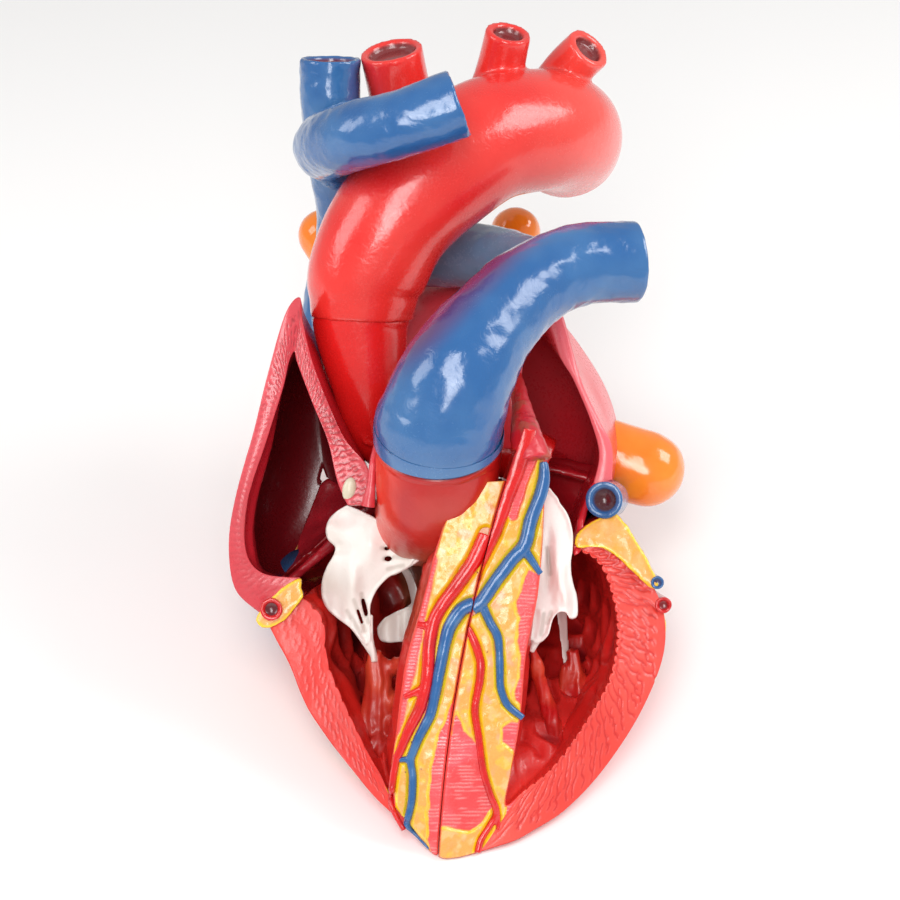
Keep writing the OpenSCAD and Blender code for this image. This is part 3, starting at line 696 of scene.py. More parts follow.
leftVentricle = {
    "outer": [[46, 28, -34], [57, 28, -33.5], [67, 27, -40], [76, 26, -52], [79.5, 24, -64],
              [78, 22, -78], [70, 17, -96], [57, 11, -115], [43, 4, -129], [31, -2, -136],
              [19, -6, -141], [-4, -9, -145], [-1, -12, -124], [1, -13, -101], [4, -14, -79],
              [6, -14, -58], [12, -13, -34], [21, -11, -1]],
    "inner": [[46, 28, -37], [52.5, 28, -39.5], [57, 27, -45], [59.7, 25, -53], [61.3, 22, -62],
              [61, 18, -72], [58, 13, -84], [51, 8, -96], [40, 3, -111], [34, 0, -117],
              [27, -3, -122], [20, -6, -127], [22, -9, -114], [25, -11, -95], [27, -12, -73],
              [31, -12, -51], [33, -11, -32], [34, -9, -2]],
    "poles": ((17.5, -18), (29, -24)), "backs": (112, 94), "splitFrom": 11, "side": 1,
    "steps": 560, "rows": (26, 42, 84), "stripFrom": 10.4, "behind": 0.36, "span": 17.0,
    "strokes": (4.0, 7.4, 0.95, ((0.97, 1.1), (0.66, 1.0), (0.38, 0.8)), 11), "strokeWidth": 0.5,
    "net": (10.5, 4.0), "scallop": (4.2, 1.2),
}
rightAtrium = {
    "outer": [[-70, 20, -60], [-79, 18, -51], [-81, 16, -35], [-78, 14, -16], [-72, 13, 5],
              [-66, 13, 29], [-60, 14, 50], [-55, 16, 56], [-54, 16, 47], [-48.5, 14, 27],
              [-38.5, 10, 5], [-30, 8, -6], [-28, 5, -19.5]],
    "inner": [[-55, 20, -47], [-69, 18, -45], [-75, 16, -36], [-74, 14, -18], [-66, 13, 7],
              [-61, 13, 23], [-59, 14, 32], [-57, 15, 36], [-56, 15, 32], [-51, 13, 19],
              [-45, 10, 4], [-41, 7, -11], [-37, 5, -20]],
    "middle": [[-66, 60, -56], [-76, 60, -50], [-80, 60, -36], [-78, 60, -16], [-72, 60, 6],
               [-66, 58, 26], [-60, 54, 42], [-54, 52, 46], [-50, 52, 40], [-43, 54, 24],
               [-36, 56, 6], [-31, 58, -8], [-26, 58, -24]],
    "pole": (-50, -10), "back": 98, "behind": 0.27, "span": 12.0,
    "pull": (-58, -8, 0.18, 0.13, -2),
    "steps": 380, "rows": (44, 22, 70), "strokeWidth": 0.36,
    "strokes": (2.3, 1.9, 1.35, ((0.85, 1), (0.62, 1), (0.38, 1)), 21, 0.35),
    "combs": ((9, 1.0), (17.5, 0.9), (26, 0.75), (36, 0.6), (47, 0.5)),
}
leftAtrium = {
    "outer": [[61, 40, -11], [61, 40, 1], [56, 40, 11], [50, 42, 24], [46, 44, 38],
              [42, 46, 52], [37, 48, 58], [30, 46, 50], [24, 40, 30], [25, 36, 13], [27, 34, 0]],
    "inner": [[53, 40, -15], [56, 40, -2], [53, 40, 11], [47, 42, 26], [42, 44, 35],
              [38, 46, 47], [34, 47, 52], [30, 46, 44], [27, 41, 27], [30, 37, 16], [35, 34, 2]],
    "middle": [[64, 92, -16], [67, 92, 4], [62, 92, 24], [50, 92, 44], [34, 92, 60],
               [10, 94, 72], [-14, 97, 70], [-34, 98, 56], [-42, 98, 36], [-36, 98, 18],
               [-20, 96, 4]],
    "pole": (6, 22), "back": 126, "behind": 0.26, "span": 10.0, "pull": (6, 24, 0.14, 0.2, 2),
    "steps": 300, "rows": (60, 10, 60),
}
chambers = {"rightVentricle": rightVentricle, "leftVentricle": leftVentricle,
            "rightAtrium": rightAtrium, "leftAtrium": leftAtrium}
pairs = {name: (deepPair if name.endswith("Atrium") else bowlPair)(spec)
         for name, spec in chambers.items()}
wallPaint = enamel("wallEnamel", None, (0.78, 0.62, 0.62, 1), rough=0.36, crinkle=420, bump=0.3,
                   coat=0.18)
atriumPaint = enamel("atriumEnamel", None, (0.80, 0.68, 0.68, 1), rough=0.30, crinkle=300,
                     bump=0.2, coat=0.3)


def strokeDepth(sheet, spec):
    # how strongly each cut-face point lies in a stroke, 1 in its middle
    marks, fine = wormStrokes(sheet, *spec["strokes"]), spec["strokeWidth"]
    chosen = sheet.isCut & sheet.free
    share = np.zeros(len(sheet.spots))
    gone, _ = nearest(cutPlace(sheet, chosen), marks)
    share[chosen] = np.exp(-(gone / fine) ** 2)
    return share


def netRidges(sheet, size, seed, begin=7):
    # webbed ridges of the inner wall: height from 0 to 1, and how far into a pit a point is
    chosen = sheet.isIn & (sheet.deep > 1)
    ridge, pit = np.zeros(len(sheet.spots)), np.zeros(len(sheet.spots))
    places = sheet.spots[chosen] * np.array([1, 0.8, 0.62])
    sway = [cloudy(sheet.spots[chosen], 13, 2, seed + k) for k in (1, 2, 3)]
    places = places + 2.2 * np.stack(sway, 1)
    gap = cells(places, size, seed)
    fade = step(begin, begin + 9, sheet.deep[chosen])
    ridge[chosen] = (1 - step(0.05, 0.42, gap)) * fade
    pit[chosen] = step(0.25, 0.75, gap) * fade
    return ridge, pit


def scallops(sheet, pair, pitch, amount, last):
    # cusps along the inner rim of a cut face, running a little way down inside
    outer, inner = pair
    zero = sheet.t * 0
    way = outer(sheet.s, zero) - inner(sheet.s, zero)
    way /= np.maximum(np.linalg.norm(way, axis=1), 1e-6)[:, None]
    run = sheet.run + 1.4 * np.sin(sheet.run * 0.13)
    cusp = (1 - np.abs(np.sin(math.pi * run / pitch))) ** 2
    fade = np.where(sheet.isIn, 1 - step(0, 9, sheet.deep), step(0.72, 1, sheet.u)) * ~sheet.isOut
    return way * (amount * cusp * fade * (1 - step(last - 0.4, last, sheet.s)))[:, None]


def makeLeftVentricle():
    spec, pair = leftVentricle, pairs["leftVentricle"]
    sheet = ShellSheet(pair, spec["span"], spec["steps"], spec["rows"])
    wall = 1 - step(spec["stripFrom"] - 0.5, spec["stripFrom"], sheet.s)
    stroke = strokeDepth(sheet, spec) * wall * step(0.2, 1.4, sheet.s)
    low = step(-38, -78, sheet.spots[:, 2])
    ridge, pit = netRidges(sheet, *spec["net"])
    ridge, pit = ridge * (0.25 + 0.75 * low), pit * (0.15 + 0.85 * low)
    waves = cloudy(sheet.spots, 30, 2, 7.7)
    height = -0.55 * stroke + 2.6 * ridge - 0.9 * pit
    height += np.where(sheet.isCut, 0.18 * waves, 0.5 * waves)
    height += np.where(sheet.isCut, 0.35 * step(0.88, 0.97, sheet.u) * wall, 0)
    hue = washed(height, "leftMuscle",
                 "leftPale", np.where(sheet.isCut, 0.35 + 0.4 * waves, 0),
                 "leftDeep", 0.75 * stroke)
    # painted shade: darker deeper inside the cavity and darkest in the pits between the ridges,
    # with the ridges painted lighter against it; the outside keeps its muscle red
    inside = np.where(sheet.isIn, step(0, 14, sheet.deep), 0)
    hue = washed(hue, "leftDeep", inside * 0.75,
                 "leftDark", pit * 0.95,
                 "muscle", ridge * 0.5,
                 "muscle", np.where(sheet.isOut, 0.7 + 0.3 * waves, 0))
    height *= ~(sheet.isOut & (sheet.s >= spec["splitFrom"]))
    mesh = sheet.close(height, hue, scallops(sheet, pair, *spec["scallop"], spec["stripFrom"]))
    finishPiece(mesh, "leftVentricleWall", "left_half", "muscle_red", wallPaint,
                ["left_ventricle"])


def makeRightVentricle():
    spec, pair = rightVentricle, pairs["rightVentricle"]
    sheet = ShellSheet(pair, spec["span"], spec["steps"], spec["rows"])
    wall = 1 - step(spec["stripFrom"] - 0.5, spec["stripFrom"], sheet.s)
    stroke = strokeDepth(sheet, spec) * wall * (0.4 + 0.6 * step(1.5, 3, sheet.s))
    ridge, pit = netRidges(sheet, *spec["net"])
    waves = cloudy(sheet.spots, 24, 3, 2.2)
    height = -0.28 * stroke + 3.0 * ridge - 0.6 * pit
    height += np.where(sheet.isCut, 0.45 * waves, 0.7 * waves)
    hue = washed(height, "muscle",
                 "leftPale", np.where(sheet.isCut, 0.15 + 0.3 * waves, 0),
                 "muscleDeep", 0.5 * stroke)
    # painted shade: the inside is painted darker with depth and in the pits, less on the ridges
    inside = np.where(sheet.isIn, step(0, 26, sheet.deep), 0)
    hue = blendTo(hue, tint("muscleDark"), inside * (0.55 + 0.45 * pit) * (1 - 0.55 * ridge))
    height *= ~(sheet.isOut & (sheet.s >= spec["splitFrom"]))
    seen = toPhoto(sheet.spots)
    shelf = step(4, -6, offPatch(seen, spec["shelf"])) * sheet.isIn
    hue = blendTo(hue, tint("tan"), shelf * 0.75)
    mesh = sheet.close(height, hue, scallops(sheet, pair, *spec["scallop"], spec["stripFrom"]))
    finishPiece(mesh, "rightVentricleWall", "right_half", "muscle_red", wallPaint,
                ["right_ventricle"])


def makeRightAtrium():
    spec, pair = rightAtrium, pairs["rightAtrium"]
    sheet = ShellSheet(pair, spec["span"], spec["steps"], spec["rows"])
    top = 0.25 + 0.75 * step(3.8, 5.5, sheet.s)
    stroke = strokeDepth(sheet, spec) * top
    bent = lambda place: sheet.deep - place - 2.2 * np.sin(sheet.s * 1.3 + place)
    combs = sum(np.exp(-(bent(place) / 2.1) ** 2) * tall for place, tall in spec["combs"])
    reach = step(0.7, 1.9, sheet.s) * (1 - step(3.4, 5.2, sheet.s))
    combs = np.where(sheet.isIn, combs * reach, 0)
    waves = cloudy(sheet.spots, 34, 2, 5.5)
    height = -0.25 * stroke + 2.7 * combs + 0.6 * waves
    height += np.where(sheet.isCut, 0.5 * np.sin(sheet.u * math.pi), 0)
    hue = washed(height, "atrium",
                 "atriumPale", np.where(sheet.isCut, 0.45 + 0.3 * waves, 0),
                 "atriumDark", 0.55 * stroke)
    # painted shade: the inside is painted darker with depth
    inside = np.where(sheet.isIn, step(6, 52, sheet.deep), 0)
    hue = blendTo(hue, tint("atriumDark"), inside * 0.92)
    mesh = sheet.close(height, hue)
    finishPiece(mesh, "rightAtriumWall", "right_half", "atrium_red", atriumPaint, ["right_atrium"])


def makeLeftAtrium():
    spec, pair = leftAtrium, pairs["leftAtrium"]
    sheet = ShellSheet(pair, spec["span"], spec["steps"], spec["rows"])
    waves = cloudy(sheet.spots, 30, 2, 8.1)
    height = 0.5 * waves + np.where(sheet.isCut, 0.6 * np.sin(sheet.u * math.pi), 0)
    hue = washed(height, "leftAtrium",
                 "leftAtriumPale", np.where(sheet.isCut, 0.75, 0.15 + 0.2 * waves))
    # painted shade: the lower part of the inside is painted darker
    low = step(20, -14, sheet.spots[:, 2]) * sheet.isIn
    hue = blendTo(hue, tint("leftAtriumDeep"), low * 0.5)
    mesh = sheet.close(height, hue)
    finishPiece(mesh, "leftAtriumWall", "left_half", "atrium_red", atriumPaint, ["left_atrium"])


def finishWall(bm, grain, name, body, slot, material, shades):
    # a waved wall; grain is the voxel, the evening, the waves' size and seed, and their height
    voxel, evening, size, seed, tall = grain
    mesh = skinned(bm, voxel, evening)
    spots = coordinates(mesh)
    waves = cloudy(spots, size, 3, seed)
    moveVerts(mesh, keepAbove(spots + normals(mesh) * (tall * waves)[:, None], 0))
    paintVerts(mesh, washed(spots, shades[0], shades[1], 0.4 + 0.3 * waves))
    finishPiece(mesh, name, body, slot, material)


def closeBehind(name, which, body, slot, material, shades):
    # wall between the two ends of a chamber's shell, behind its valve
    spec, (outer, inner) = chambers[which], pairs[which]
    share = np.linspace(-0.07, 1.07, 40)[:, None]
    bm = bmesh.new()
    rings = []
    for t in np.linspace(spec["behind"], 0.995, 26):
        ends = [face(np.array([s]), np.array([t]))[0] for face, s in
                ((inner, spec["span"]), (inner, 0.0), (outer, 0.0), (outer, spec["span"]))]
        rings.append(np.vstack([ends[0] + (ends[1] - ends[0]) * share,
                                ends[2] + (ends[3] - ends[2]) * share]))
    loft(bm, rings)
    finishWall(bm, (1.2, 4, 12, 3.9, 0.7), name, body, slot, material, shades)


def joinBases(name, ends, body, slot, material, shades):
    # wall from an atrium's floor to the ventricle under it, each as (chamber, share back)
    share = np.linspace(-0.1, 1.1, 44)[:, None]
    lines = []
    for which, t in ends:
        inner, span = pairs[which][1], chambers[which]["span"]
        a, b = inner(np.array([span]), np.array([t]))[0], inner(np.array([0.0]), np.array([t]))[0]
        lines.append(a + (b - a) * share)
    bm = bmesh.new()
    rings = []
    for f in np.linspace(-0.12, 1.12, 14):
        front = lines[0] + (lines[1] - lines[0]) * f
        rings.append(np.vstack([front, front[::-1] + [0, 3.5, 0]]))
    loft(bm, rings)
    finishWall(bm, (1.1, 3, 9, 5.9, 0.6), name, body, slot, material, shades)


makeLeftVentricle()
print("left ventricle done")
makeRightVentricle()
print("right ventricle done")
makeRightAtrium()
makeLeftAtrium()
# these walls lie deep inside the chambers and are painted in the chambers' darker colours, as
# painted shade
closeBehind("rightAtriumBackWall", "rightAtrium", "right_half", "atrium_red", atriumPaint,
            ("atrium", "atriumDark"))
closeBehind("rightBaseWall", "rightVentricle", "right_half", "muscle_red", wallPaint,
            ("muscleDark", "muscleDeep"))
closeBehind("leftBaseWall", "leftVentricle", "left_half", "muscle_red", wallPaint,
            ("leftDark", "leftDeep"))
joinBases("rightBaseFill", (("rightAtrium", 0.34), ("rightVentricle", 0.5)), "right_half",
          "muscle_red", wallPaint, ("atriumDark", "muscleDeep"))
joinBases("leftBaseFill", (("leftAtrium", 0.34), ("leftVentricle", 0.44)), "left_half",
          "muscle_red", wallPaint, ("leftAtriumDeep", "leftDark"))
closeBehind("leftAtriumBackWall", "leftAtrium", "left_half", "atrium_red", atriumPaint,
            ("leftAtriumDeep", "leftAtrium"))
print("atria done")

# septum strips: fat, muscle and the vessels over them
# outlines and lines are in photo pixels, widths in mm
rightStrip = {
    "pair": "rightVentricle", "side": -1, "body": "right_half", "from": 5.25, "to": 12.0,
    "steps": 460, "across": 78,
    "muscle": [[[463, 668], [458, 690], [449, 712], [441, 732], [434, 752], [430, 790], [428, 825],
                [431, 852], [440, 858], [446, 830], [449, 790], [455, 735], [462, 695]]],
    "pinkEdge": [[432, 560], [424, 600], [417, 640], [408, 680], [403, 700], [396, 730]],
    "arteries": [([[486, 535], [483, 542], [474, 560.5], [457.7, 584.6], [441.6, 606],
                   [433.6, 622],
                   [429.6, 643.6], [428, 667.7], [425.5, 686.5], [420, 708], [409.5, 729],
                   [401.4, 748], [396, 761.5], [392, 788], [392, 807], [404, 830]],
                  (2.9, 2.8, 2.5, 2.4, 2.3, 2.1, 1.6, 1.2, 1.0)),
                 ([[433, 624], [426, 625.5], [417, 624.5]], (1.8, 1.5, 1.2)),
                 ([[426, 687], [416, 692], [404, 697]], (1.7, 1.4, 1.1))],
    "veins": [([[474, 604], [468, 606], [460, 611.4], [449.6, 627.5], [444.3, 646], [439, 673],
                [435, 694.5], [429.6, 716], [418.8, 737.3], [413.5, 750.7], [410.8, 760],
                [412.7, 777.5], [411.6, 801.6], [408, 817.7], [406.8, 825.7]],
               (2.5, 2.5, 2.2, 2.0, 1.7, 1.5, 1.4, 1.3)),
              ([[411, 761], [405, 759.5], [399, 760]], (1.3, 1.1, 1.0)),
              ([[406.8, 825.7], [413, 832], [421, 840], [429, 849]], (1.0, 0.7, 0.5))],
    "gold": 620, "seed": 3.3, "nodes": ("right_edge_fat", "right_edge_artery", "right_edge_vein"),
}
leftStrip = {
    "pair": "leftVentricle", "side": 1, "body": "left_half", "from": 10.35, "to": 17.0,
    "steps": 480, "across": 78,
    "muscle": [[[456, 712], [463, 731], [472, 737], [477, 745], [479, 757], [483, 771], [489, 791],
                [494, 806], [488, 812], [480, 822], [470, 830], [456, 828], [438, 826],
                [441, 796], [448, 751]],
               [[545, 566], [538, 574], [529, 570], [523, 585], [516.6, 603], [519.5, 618],
                [518, 640], [521, 655], [520, 672], [516, 690], [517, 700], [524.7, 712],
                [530, 700], [535, 640]],
               [[524, 722], [511, 722], [502, 728], [503, 740], [511, 748], [520, 756],
                [526, 745]],
               [[518, 752], [514, 762], [511, 785], [507, 812], [504, 830], [508, 838],
                [518, 800]]],
    "pinkEdge": [[541, 440], [534, 455], [527, 472], [520, 492], [513, 515]],
    "arteries": [([[524, 428], [520, 450], [511, 480], [502, 506], [494, 530], [486, 548],
                   [478, 566],
                   [473, 580]], (4.6, 4.2, 3.6, 3.2, 3.0, 2.8, 2.4, 1.9)),
                 ([[466, 626], [469.7, 631.5], [475, 643.6], [480.5, 662], [479.7, 681],
                   [476.4, 697],
                   [475, 713], [479, 740], [483, 769.5], [489.8, 793.6], [495, 806], [496, 815],
                   [489.8, 825.7], [481, 840], [477.8, 852.5]],
                  (1.2, 1.5, 1.5, 1.45, 1.35, 1.3, 1.3, 1.2, 1.2)),
                 ([[495, 808], [498, 817], [498, 830]], (1.1, 0.9, 0.7))],
    "veins": [([[543.5, 462], [544, 478], [540.7, 493.6], [531, 520], [524.7, 544.5], [511, 560.5],
                [495, 582], [481.8, 600.7], [472, 609]], (1.4, 2.3, 2.4, 2.5, 2.5, 2.4, 2.4, 2.4)),
              ([[526, 552], [532.7, 562], [541, 574]], (1.6, 1.3, 1.2)),
              ([[481, 603], [489.8, 622], [497.9, 638], [499.7, 662.3], [500.5, 686.5],
                [505.9, 702.5], [514, 711], [523, 718]], (1.6, 1.6, 1.5, 1.4, 1.4, 1.3, 1.2))],
    "gold": 560, "seed": 8.1, "nodes": ("left_edge_fat", "left_edge_artery", "left_edge_vein"),
}
mmPerPixel = 0.355
fatPaint = enamel("fatEnamel", None, (0.90, 0.78, 0.62, 1), rough=0.24, crinkle=520, bump=0.4,
                  coat=0.5, cloud=130)
vesselPaint = enamel("vesselEnamel", None, (0.80, 0.72, 0.74, 1), rough=0.22, crinkle=420,
                     bump=0.25, coat=0.5)


def keepSide(spots, side):
    # nothing crosses the split
    limit = splitX(spots[:, 2]) * side + standing["gap"] / 2 + 0.05
    spots[:, 0] = np.maximum(spots[:, 0] * side, limit) * side
    return spots


def fatShade(places, spots, seed, gold):
    # hand-mottled fat: golden above the gold line, peach below it, with pale and yellow dabs
    base = washed(spots, "fat")
    dabs = cloudy(spots, 4.2, 3, seed)
    broad = cloudy(spots, 15, 2, seed + 5)
    golden = step(gold + 60, gold - 60, places[:, 1]) * 0.7
    base = washed(base, "fatGold", golden + 0.5 * step(0.0, 0.5, broad),
                  "fatPale", 0.75 * step(0.12, 0.5, dabs),
                  "outline", 0.3 * step(0.2, 0.5, cloudy(spots, 5.5, 3, seed + 11)))
    return blendTo(base, tint("pinkPale"), 0.35 * step(0.2, 0.5, cloudy(spots, 7, 2, seed + 17)))


def makeStrip(name, spec):
    outer, inner = pairs[spec["pair"]]
    bm = bmesh.new()
    bmesh.ops.create_grid(bm, x_segments=spec["steps"], y_segments=spec["across"], size=1)
    mesh = meshOf(bm, False)
    place = coordinates(mesh)
    i = np.rint((place[:, 0] + 1) / 2 * spec["steps"]).astype(int)
    u = (place[:, 1] + 1) / 2
    reach = spec["to"] - spec["from"]
    marks, length = evenly(lambda s: outer(spec["from"] + s, s * 0), 0, reach, spec["steps"])
    s = marks[i] + spec["from"]
    a, b = outer(s, s * 0), inner(s, s * 0)
    spots = a * (1 - u)[:, None] + b * u[:, None]
    wide = np.linalg.norm(b - a, axis=1)
    pixels = toPhoto(spots)
    vessel = np.min([offLine(pixels, line, np.array(sizes) / mmPerPixel)
                     for line, sizes in spec["arteries"] + spec["veins"]], axis=0) * mmPerPixel
    wobble = 0.7 * cloudy(spots, 6, 3, spec["seed"] + 2)
    muscle = np.min([offPatch(pixels, patch) for patch in spec["muscle"]],
                    axis=0) * mmPerPixel + wobble
    edge = np.minimum(u * wide, (1 - u) * wide)
    pink = offLine(pixels, spec["pinkEdge"], (1.4 / mmPerPixel,)) * mmPerPixel + 0.5 * wobble
    fatty = step(0, 1.1, muscle) * step(-0.2, 1.0, pink)
    lumps = 0.5 + 0.5 * cloudy(spots, 5, 2, spec["seed"])
    rise = fatty * step(-0.3, 1.3, vessel) * (1.0 + 0.75 * lumps)
    strands = np.sin(2 * math.pi * pixels[:, 1] * mmPerPixel / 1.25 + 2.2
                     * cloudy(spots, 7, 2, 4.4)
                     + 0.05 * pixels[:, 0])
    thready = strands * step(-0.4, 0.4, cloudy(spots * np.array([0.35, 1, 1]), 2.6, 2, 6.6) + 0.1)
    rise += (1 - fatty) * (0.35 + 0.12 * thready) + 0.1
    rise = (rise + 0.35) * step(0, 0.9, edge + 0.1) - 0.35
    spots[:, 1] -= rise
    moveVerts(mesh, keepSide(spots, spec["side"]))

    hue = fatShade(pixels, spots, spec["seed"], spec["gold"])
    flesh = washed(hue, "pink",
                   "muscle", 0.45 * step(0, 0.4, cloudy(spots, 16, 2, 9.9)),
                   "pinkPale", 0.65 * step(0.25, 0.9, thready))
    hue = blendTo(flesh, hue, fatty)
    hue = blendTo(hue, tint("pink"), step(0.7, -0.2, pink) * 0.8)
    lined = step(1.15, 0.75, vessel) * step(-0.2, 0.1, vessel) * fatty
    lined = np.maximum(lined, step(0.7, 0.35, np.abs(muscle - 0.55)) * 0.75)
    # yellow outlines beside the vessels, and painted shade on the fat under them
    hue = washed(hue, "outline", lined * (0.75 + 0.25 * step(-0.3, 0.1, cloudy(spots, 3, 2, 1.1))),
                 "coronaryDeep", step(0.15, -0.25, vessel) * 0.5)
    dots = np.array([noise.voronoi(Vector(p) / 5.2)[0][0] for p in spots])
    hue = washed(hue, "tan", step(0.085, 0.05, dots) * fatty * step(2.6, 1.8, vessel),
                 "muscle", step(0.9, 0.25, edge) * (1 - 0.4 * fatty))
    paintVerts(mesh, hue)
    bm = bmesh.new()
    bm.from_mesh(mesh)
    rims = [e for e in bm.edges if e.is_boundary]
    grown = bmesh.ops.extrude_edge_only(bm, edges=rims)["geom"]
    sunk = [g for g in grown if isinstance(g, bmesh.types.BMVert)]
    bmesh.ops.translate(bm, verts=sunk, vec=(0, 1.6, 0))
    bm.to_mesh(mesh)
    bm.free()
    moveVerts(mesh, keepAbove(coordinates(mesh), 0.05))
    if normals(mesh)[:, 1].mean() > 0:
        mesh.flip_normals()
    finishPiece(mesh, name + "Fat", spec["body"], "fat_yellow", fatPaint, [spec["nodes"][0]])

    # the vessels stand half proud of it
    base = a * (1 - u)[:, None] + b * u[:, None]
    for kind, node, slot, hues in (
            ("arteries", spec["nodes"][1], "coronary_red", ("coronary", "coronaryDeep")),
            ("veins", spec["nodes"][2], "vein_blue", ("blue", "bluePale"))):
        bm = bmesh.new()
        for line, sizes in spec[kind]:
            line = smoothed(line, 5 * len(line))
            _, found = nearest(np.array(line), pixels)
            path = [fromPhoto(p, base[k][1] - 0.35) for p, k in zip(line, found)]
            tube(bm, path, list(sizes), 3 * len(line), 20, start=(0, 1, 0.05))
        made = skinned(bm, 0.42, 3)
        spots = coordinates(made)
        spots = spots + normals(made) * (0.16 * cloudy(spots, 6, 2, 2.5))[:, None]
        moveVerts(made, keepSide(spots, spec["side"]))
        tone = washed(spots, hues[0])
        paintVerts(made, blendTo(tone, tint(hues[1]),
                                 0.35 * step(0, 0.5, cloudy(spots, 8, 2, 3.9))))
        finishPiece(made, name + kind.capitalize(), spec["body"], slot, vesselPaint, [node])


makeStrip("rightStrip", rightStrip)
makeStrip("leftStrip", leftStrip)
print("septum strips done")

# valves, their strands and the papillary muscles
tricuspid = {
    "tint": "ivory", "depth": 22, "thick": 1.9, "voxel": 0.5,
    "leaf": [[347, 505], [337, 511], [329, 519], [325.5, 530], [328, 540], [335, 547], [333, 556],
             [327, 566], [322, 580], [321.5, 596], [327, 609], [338, 619], [350, 628], [360, 640],
             [367, 645], [371, 640], [370, 620], [371, 604], [377, 590], [388, 578], [398, 573],
             [408, 567], [416, 558], [415.5, 550], [400, 546], [391, 538], [384, 524], [372, 516],
             [360, 510]],
    "slits": [([347, 611], [360, 632], 3.0), ([354, 600], [365, 631], 3.0),
              ([361.5, 594], [368, 622], 4.2),
              ([384, 559], [392, 558.5], 5.2), ([388, 569], [403, 565.5], 3.2),
              ([394, 557], [408, 558], 2.6),
              ([382, 548], [390, 549], 3.6)],
    "strands": [([[366, 634], [372, 648], [375, 662]], (1.6, 1.3, 1.5)),
                ([[350, 622], [363, 641], [373, 656]], (1.3, 1.0, 1.0)),
                ([[370, 615], [371, 636], [374, 654]], (1.2, 0.9, 0.9)),
                ([[392, 556], [404, 553.5], [418, 552]], (1.1, 1.0, 1.3)),
                ([[392, 566], [405, 561], [418, 555]], (1.1, 0.9, 1.2)),
                ([[393, 573], [406, 567], [418, 558]], (1.1, 0.9, 1.2)),
                ([[383, 524], [388, 527], [392, 536]], (1.8, 2.4, 1.6))],
}
tricuspidBack = {
    "tint": "ivory", "depth": 40, "thick": 1.9, "voxel": 0.6,
    "leaf": [[384, 618], [395, 612], [408, 606], [420, 596], [428, 598], [424, 630], [417, 648],
             [409, 643], [400, 642], [389, 643], [380, 640], [377, 628]],
    "slits": [],
    "strands": [([[400, 560], [410, 580], [417, 604]], (1.8, 1.5, 2.0)),
                ([[408, 640], [410, 655], [412, 668]], (1.2, 1.0, 1.2))],
}
mitral = {
    "tint": "white", "depth": 22, "thick": 2.0, "voxel": 0.5,
    "leaf": [[538, 484], [548.5, 487], [553, 492], [558, 498], [560, 503], [566, 511], [570, 520],
             [573, 534], [572.7, 550], [571, 562], [571.5, 574], [574, 586], [577, 596],
             [578, 612],
             [576, 618], [570, 619], [566, 613], [560, 612], [555, 616], [552, 622], [549, 634],
             [543, 641], [536, 644], [530, 640], [526, 600], [524, 540], [530, 500]],
    "slits": [([547, 548], [550, 574], 3.2), ([544, 614], [541, 634], 3.6),
              ([551, 612], [547, 623], 2.8)],
    "strands": [([[541, 610], [540, 628], [536, 640], [531, 652]], (1.6, 1.4, 1.5, 1.2)),
                ([[550, 606], [545, 626], [537, 642], [532, 650]], (1.3, 1.1, 1.1, 1.0)),
                ([[566, 560], [562, 580], [566, 604]], (1.8, 2.2, 1.5)),
                ([[552, 545], [553, 575], [548, 600]], (1.5, 1.9, 1.3))],
}
mitralBack = {
    "tint": "white", "depth": 44, "thick": 2.2, "voxel": 0.8,
    "leaf": [[540, 492], [552, 502], [562, 515], [566, 540], [566, 566], [562, 590], [552, 592],
             [546, 560], [540, 520]],
    "slits": [],
    "strands": [([[561, 588], [564, 606], [566, 640], [566, 672]], (1.4, 1.1, 1.0, 1.2)),
                ([[554, 590], [560, 620], [566, 668]], (1.2, 1.0, 1.0))],
}
leafPaint = enamel("leafEnamel", None, (0.90, 0.86, 0.82, 1), rough=0.42, crinkle=240, bump=0.3,
                   coat=0.08)
musclePaint = enamel("papillaryEnamel", None, (0.80, 0.66, 0.62, 1), rough=0.38, crinkle=260,
                     bump=0.3, coat=0.15)


def flatLeaf(spec):
    # leaflet drawn flat as the photo sees it, with its strands, slits cut out of it
    grow, centre = pixelSize(spec["depth"]), photoView["centre"]

    def flat(p, w=0.0):
        return Vector(((p[0] - centre) * grow, w, (centre - p[1]) * grow))

    bm = bmesh.new()
    outline = smoothed(spec["leaf"] + spec["leaf"][:1], 5 * len(spec["leaf"]) + 1)[:-1]
    loops = [outline]
    for a, b, wide in spec["slits"]:
        a, b = np.array(a, float), np.array(b, float)
        way = unit(b - a)
        turns = np.linspace(0, 2 * math.pi, 15)[:-1]
        reach = np.linalg.norm(b - a) / 2
        loops.append([(a + b) / 2 + way * reach * math.cos(q)
                      + np.array([-way[1], way[0]]) * wide / 2 * math.sin(q) for q in turns])
    for loop in loops:
        verts = bmesh.ops.create_circle(bm, cap_ends=False, segments=len(loop), radius=1)["verts"]
        for vert, p in zip(verts, loop):
            vert.co = flat(p, -spec["thick"] / 2)
    bmesh.ops.triangle_fill(bm, use_beauty=True, edges=bm.edges, normal=(0, 1, 0))
    grown = bmesh.ops.extrude_face_region(bm, geom=list(bm.faces))["geom"]
    bmesh.ops.translate(bm, verts=[g for g in grown if isinstance(g, bmesh.types.BMVert)],
                        vec=(0, spec["thick"], 0))
    bmesh.ops.triangulate(bm, faces=bm.faces)
    for line, sizes in spec["strands"]:
        tube(bm, [list(flat(p)) for p in line], sizes, 14, 12, start=(0, 1, 0.01))
    mesh = skinned(bm, spec["voxel"], 2)
    spots = coordinates(mesh)
    pixels = np.stack([centre + spots[:, 0] / grow, centre - spots[:, 2] / grow], 1)
    return mesh, spots, pixels, grow


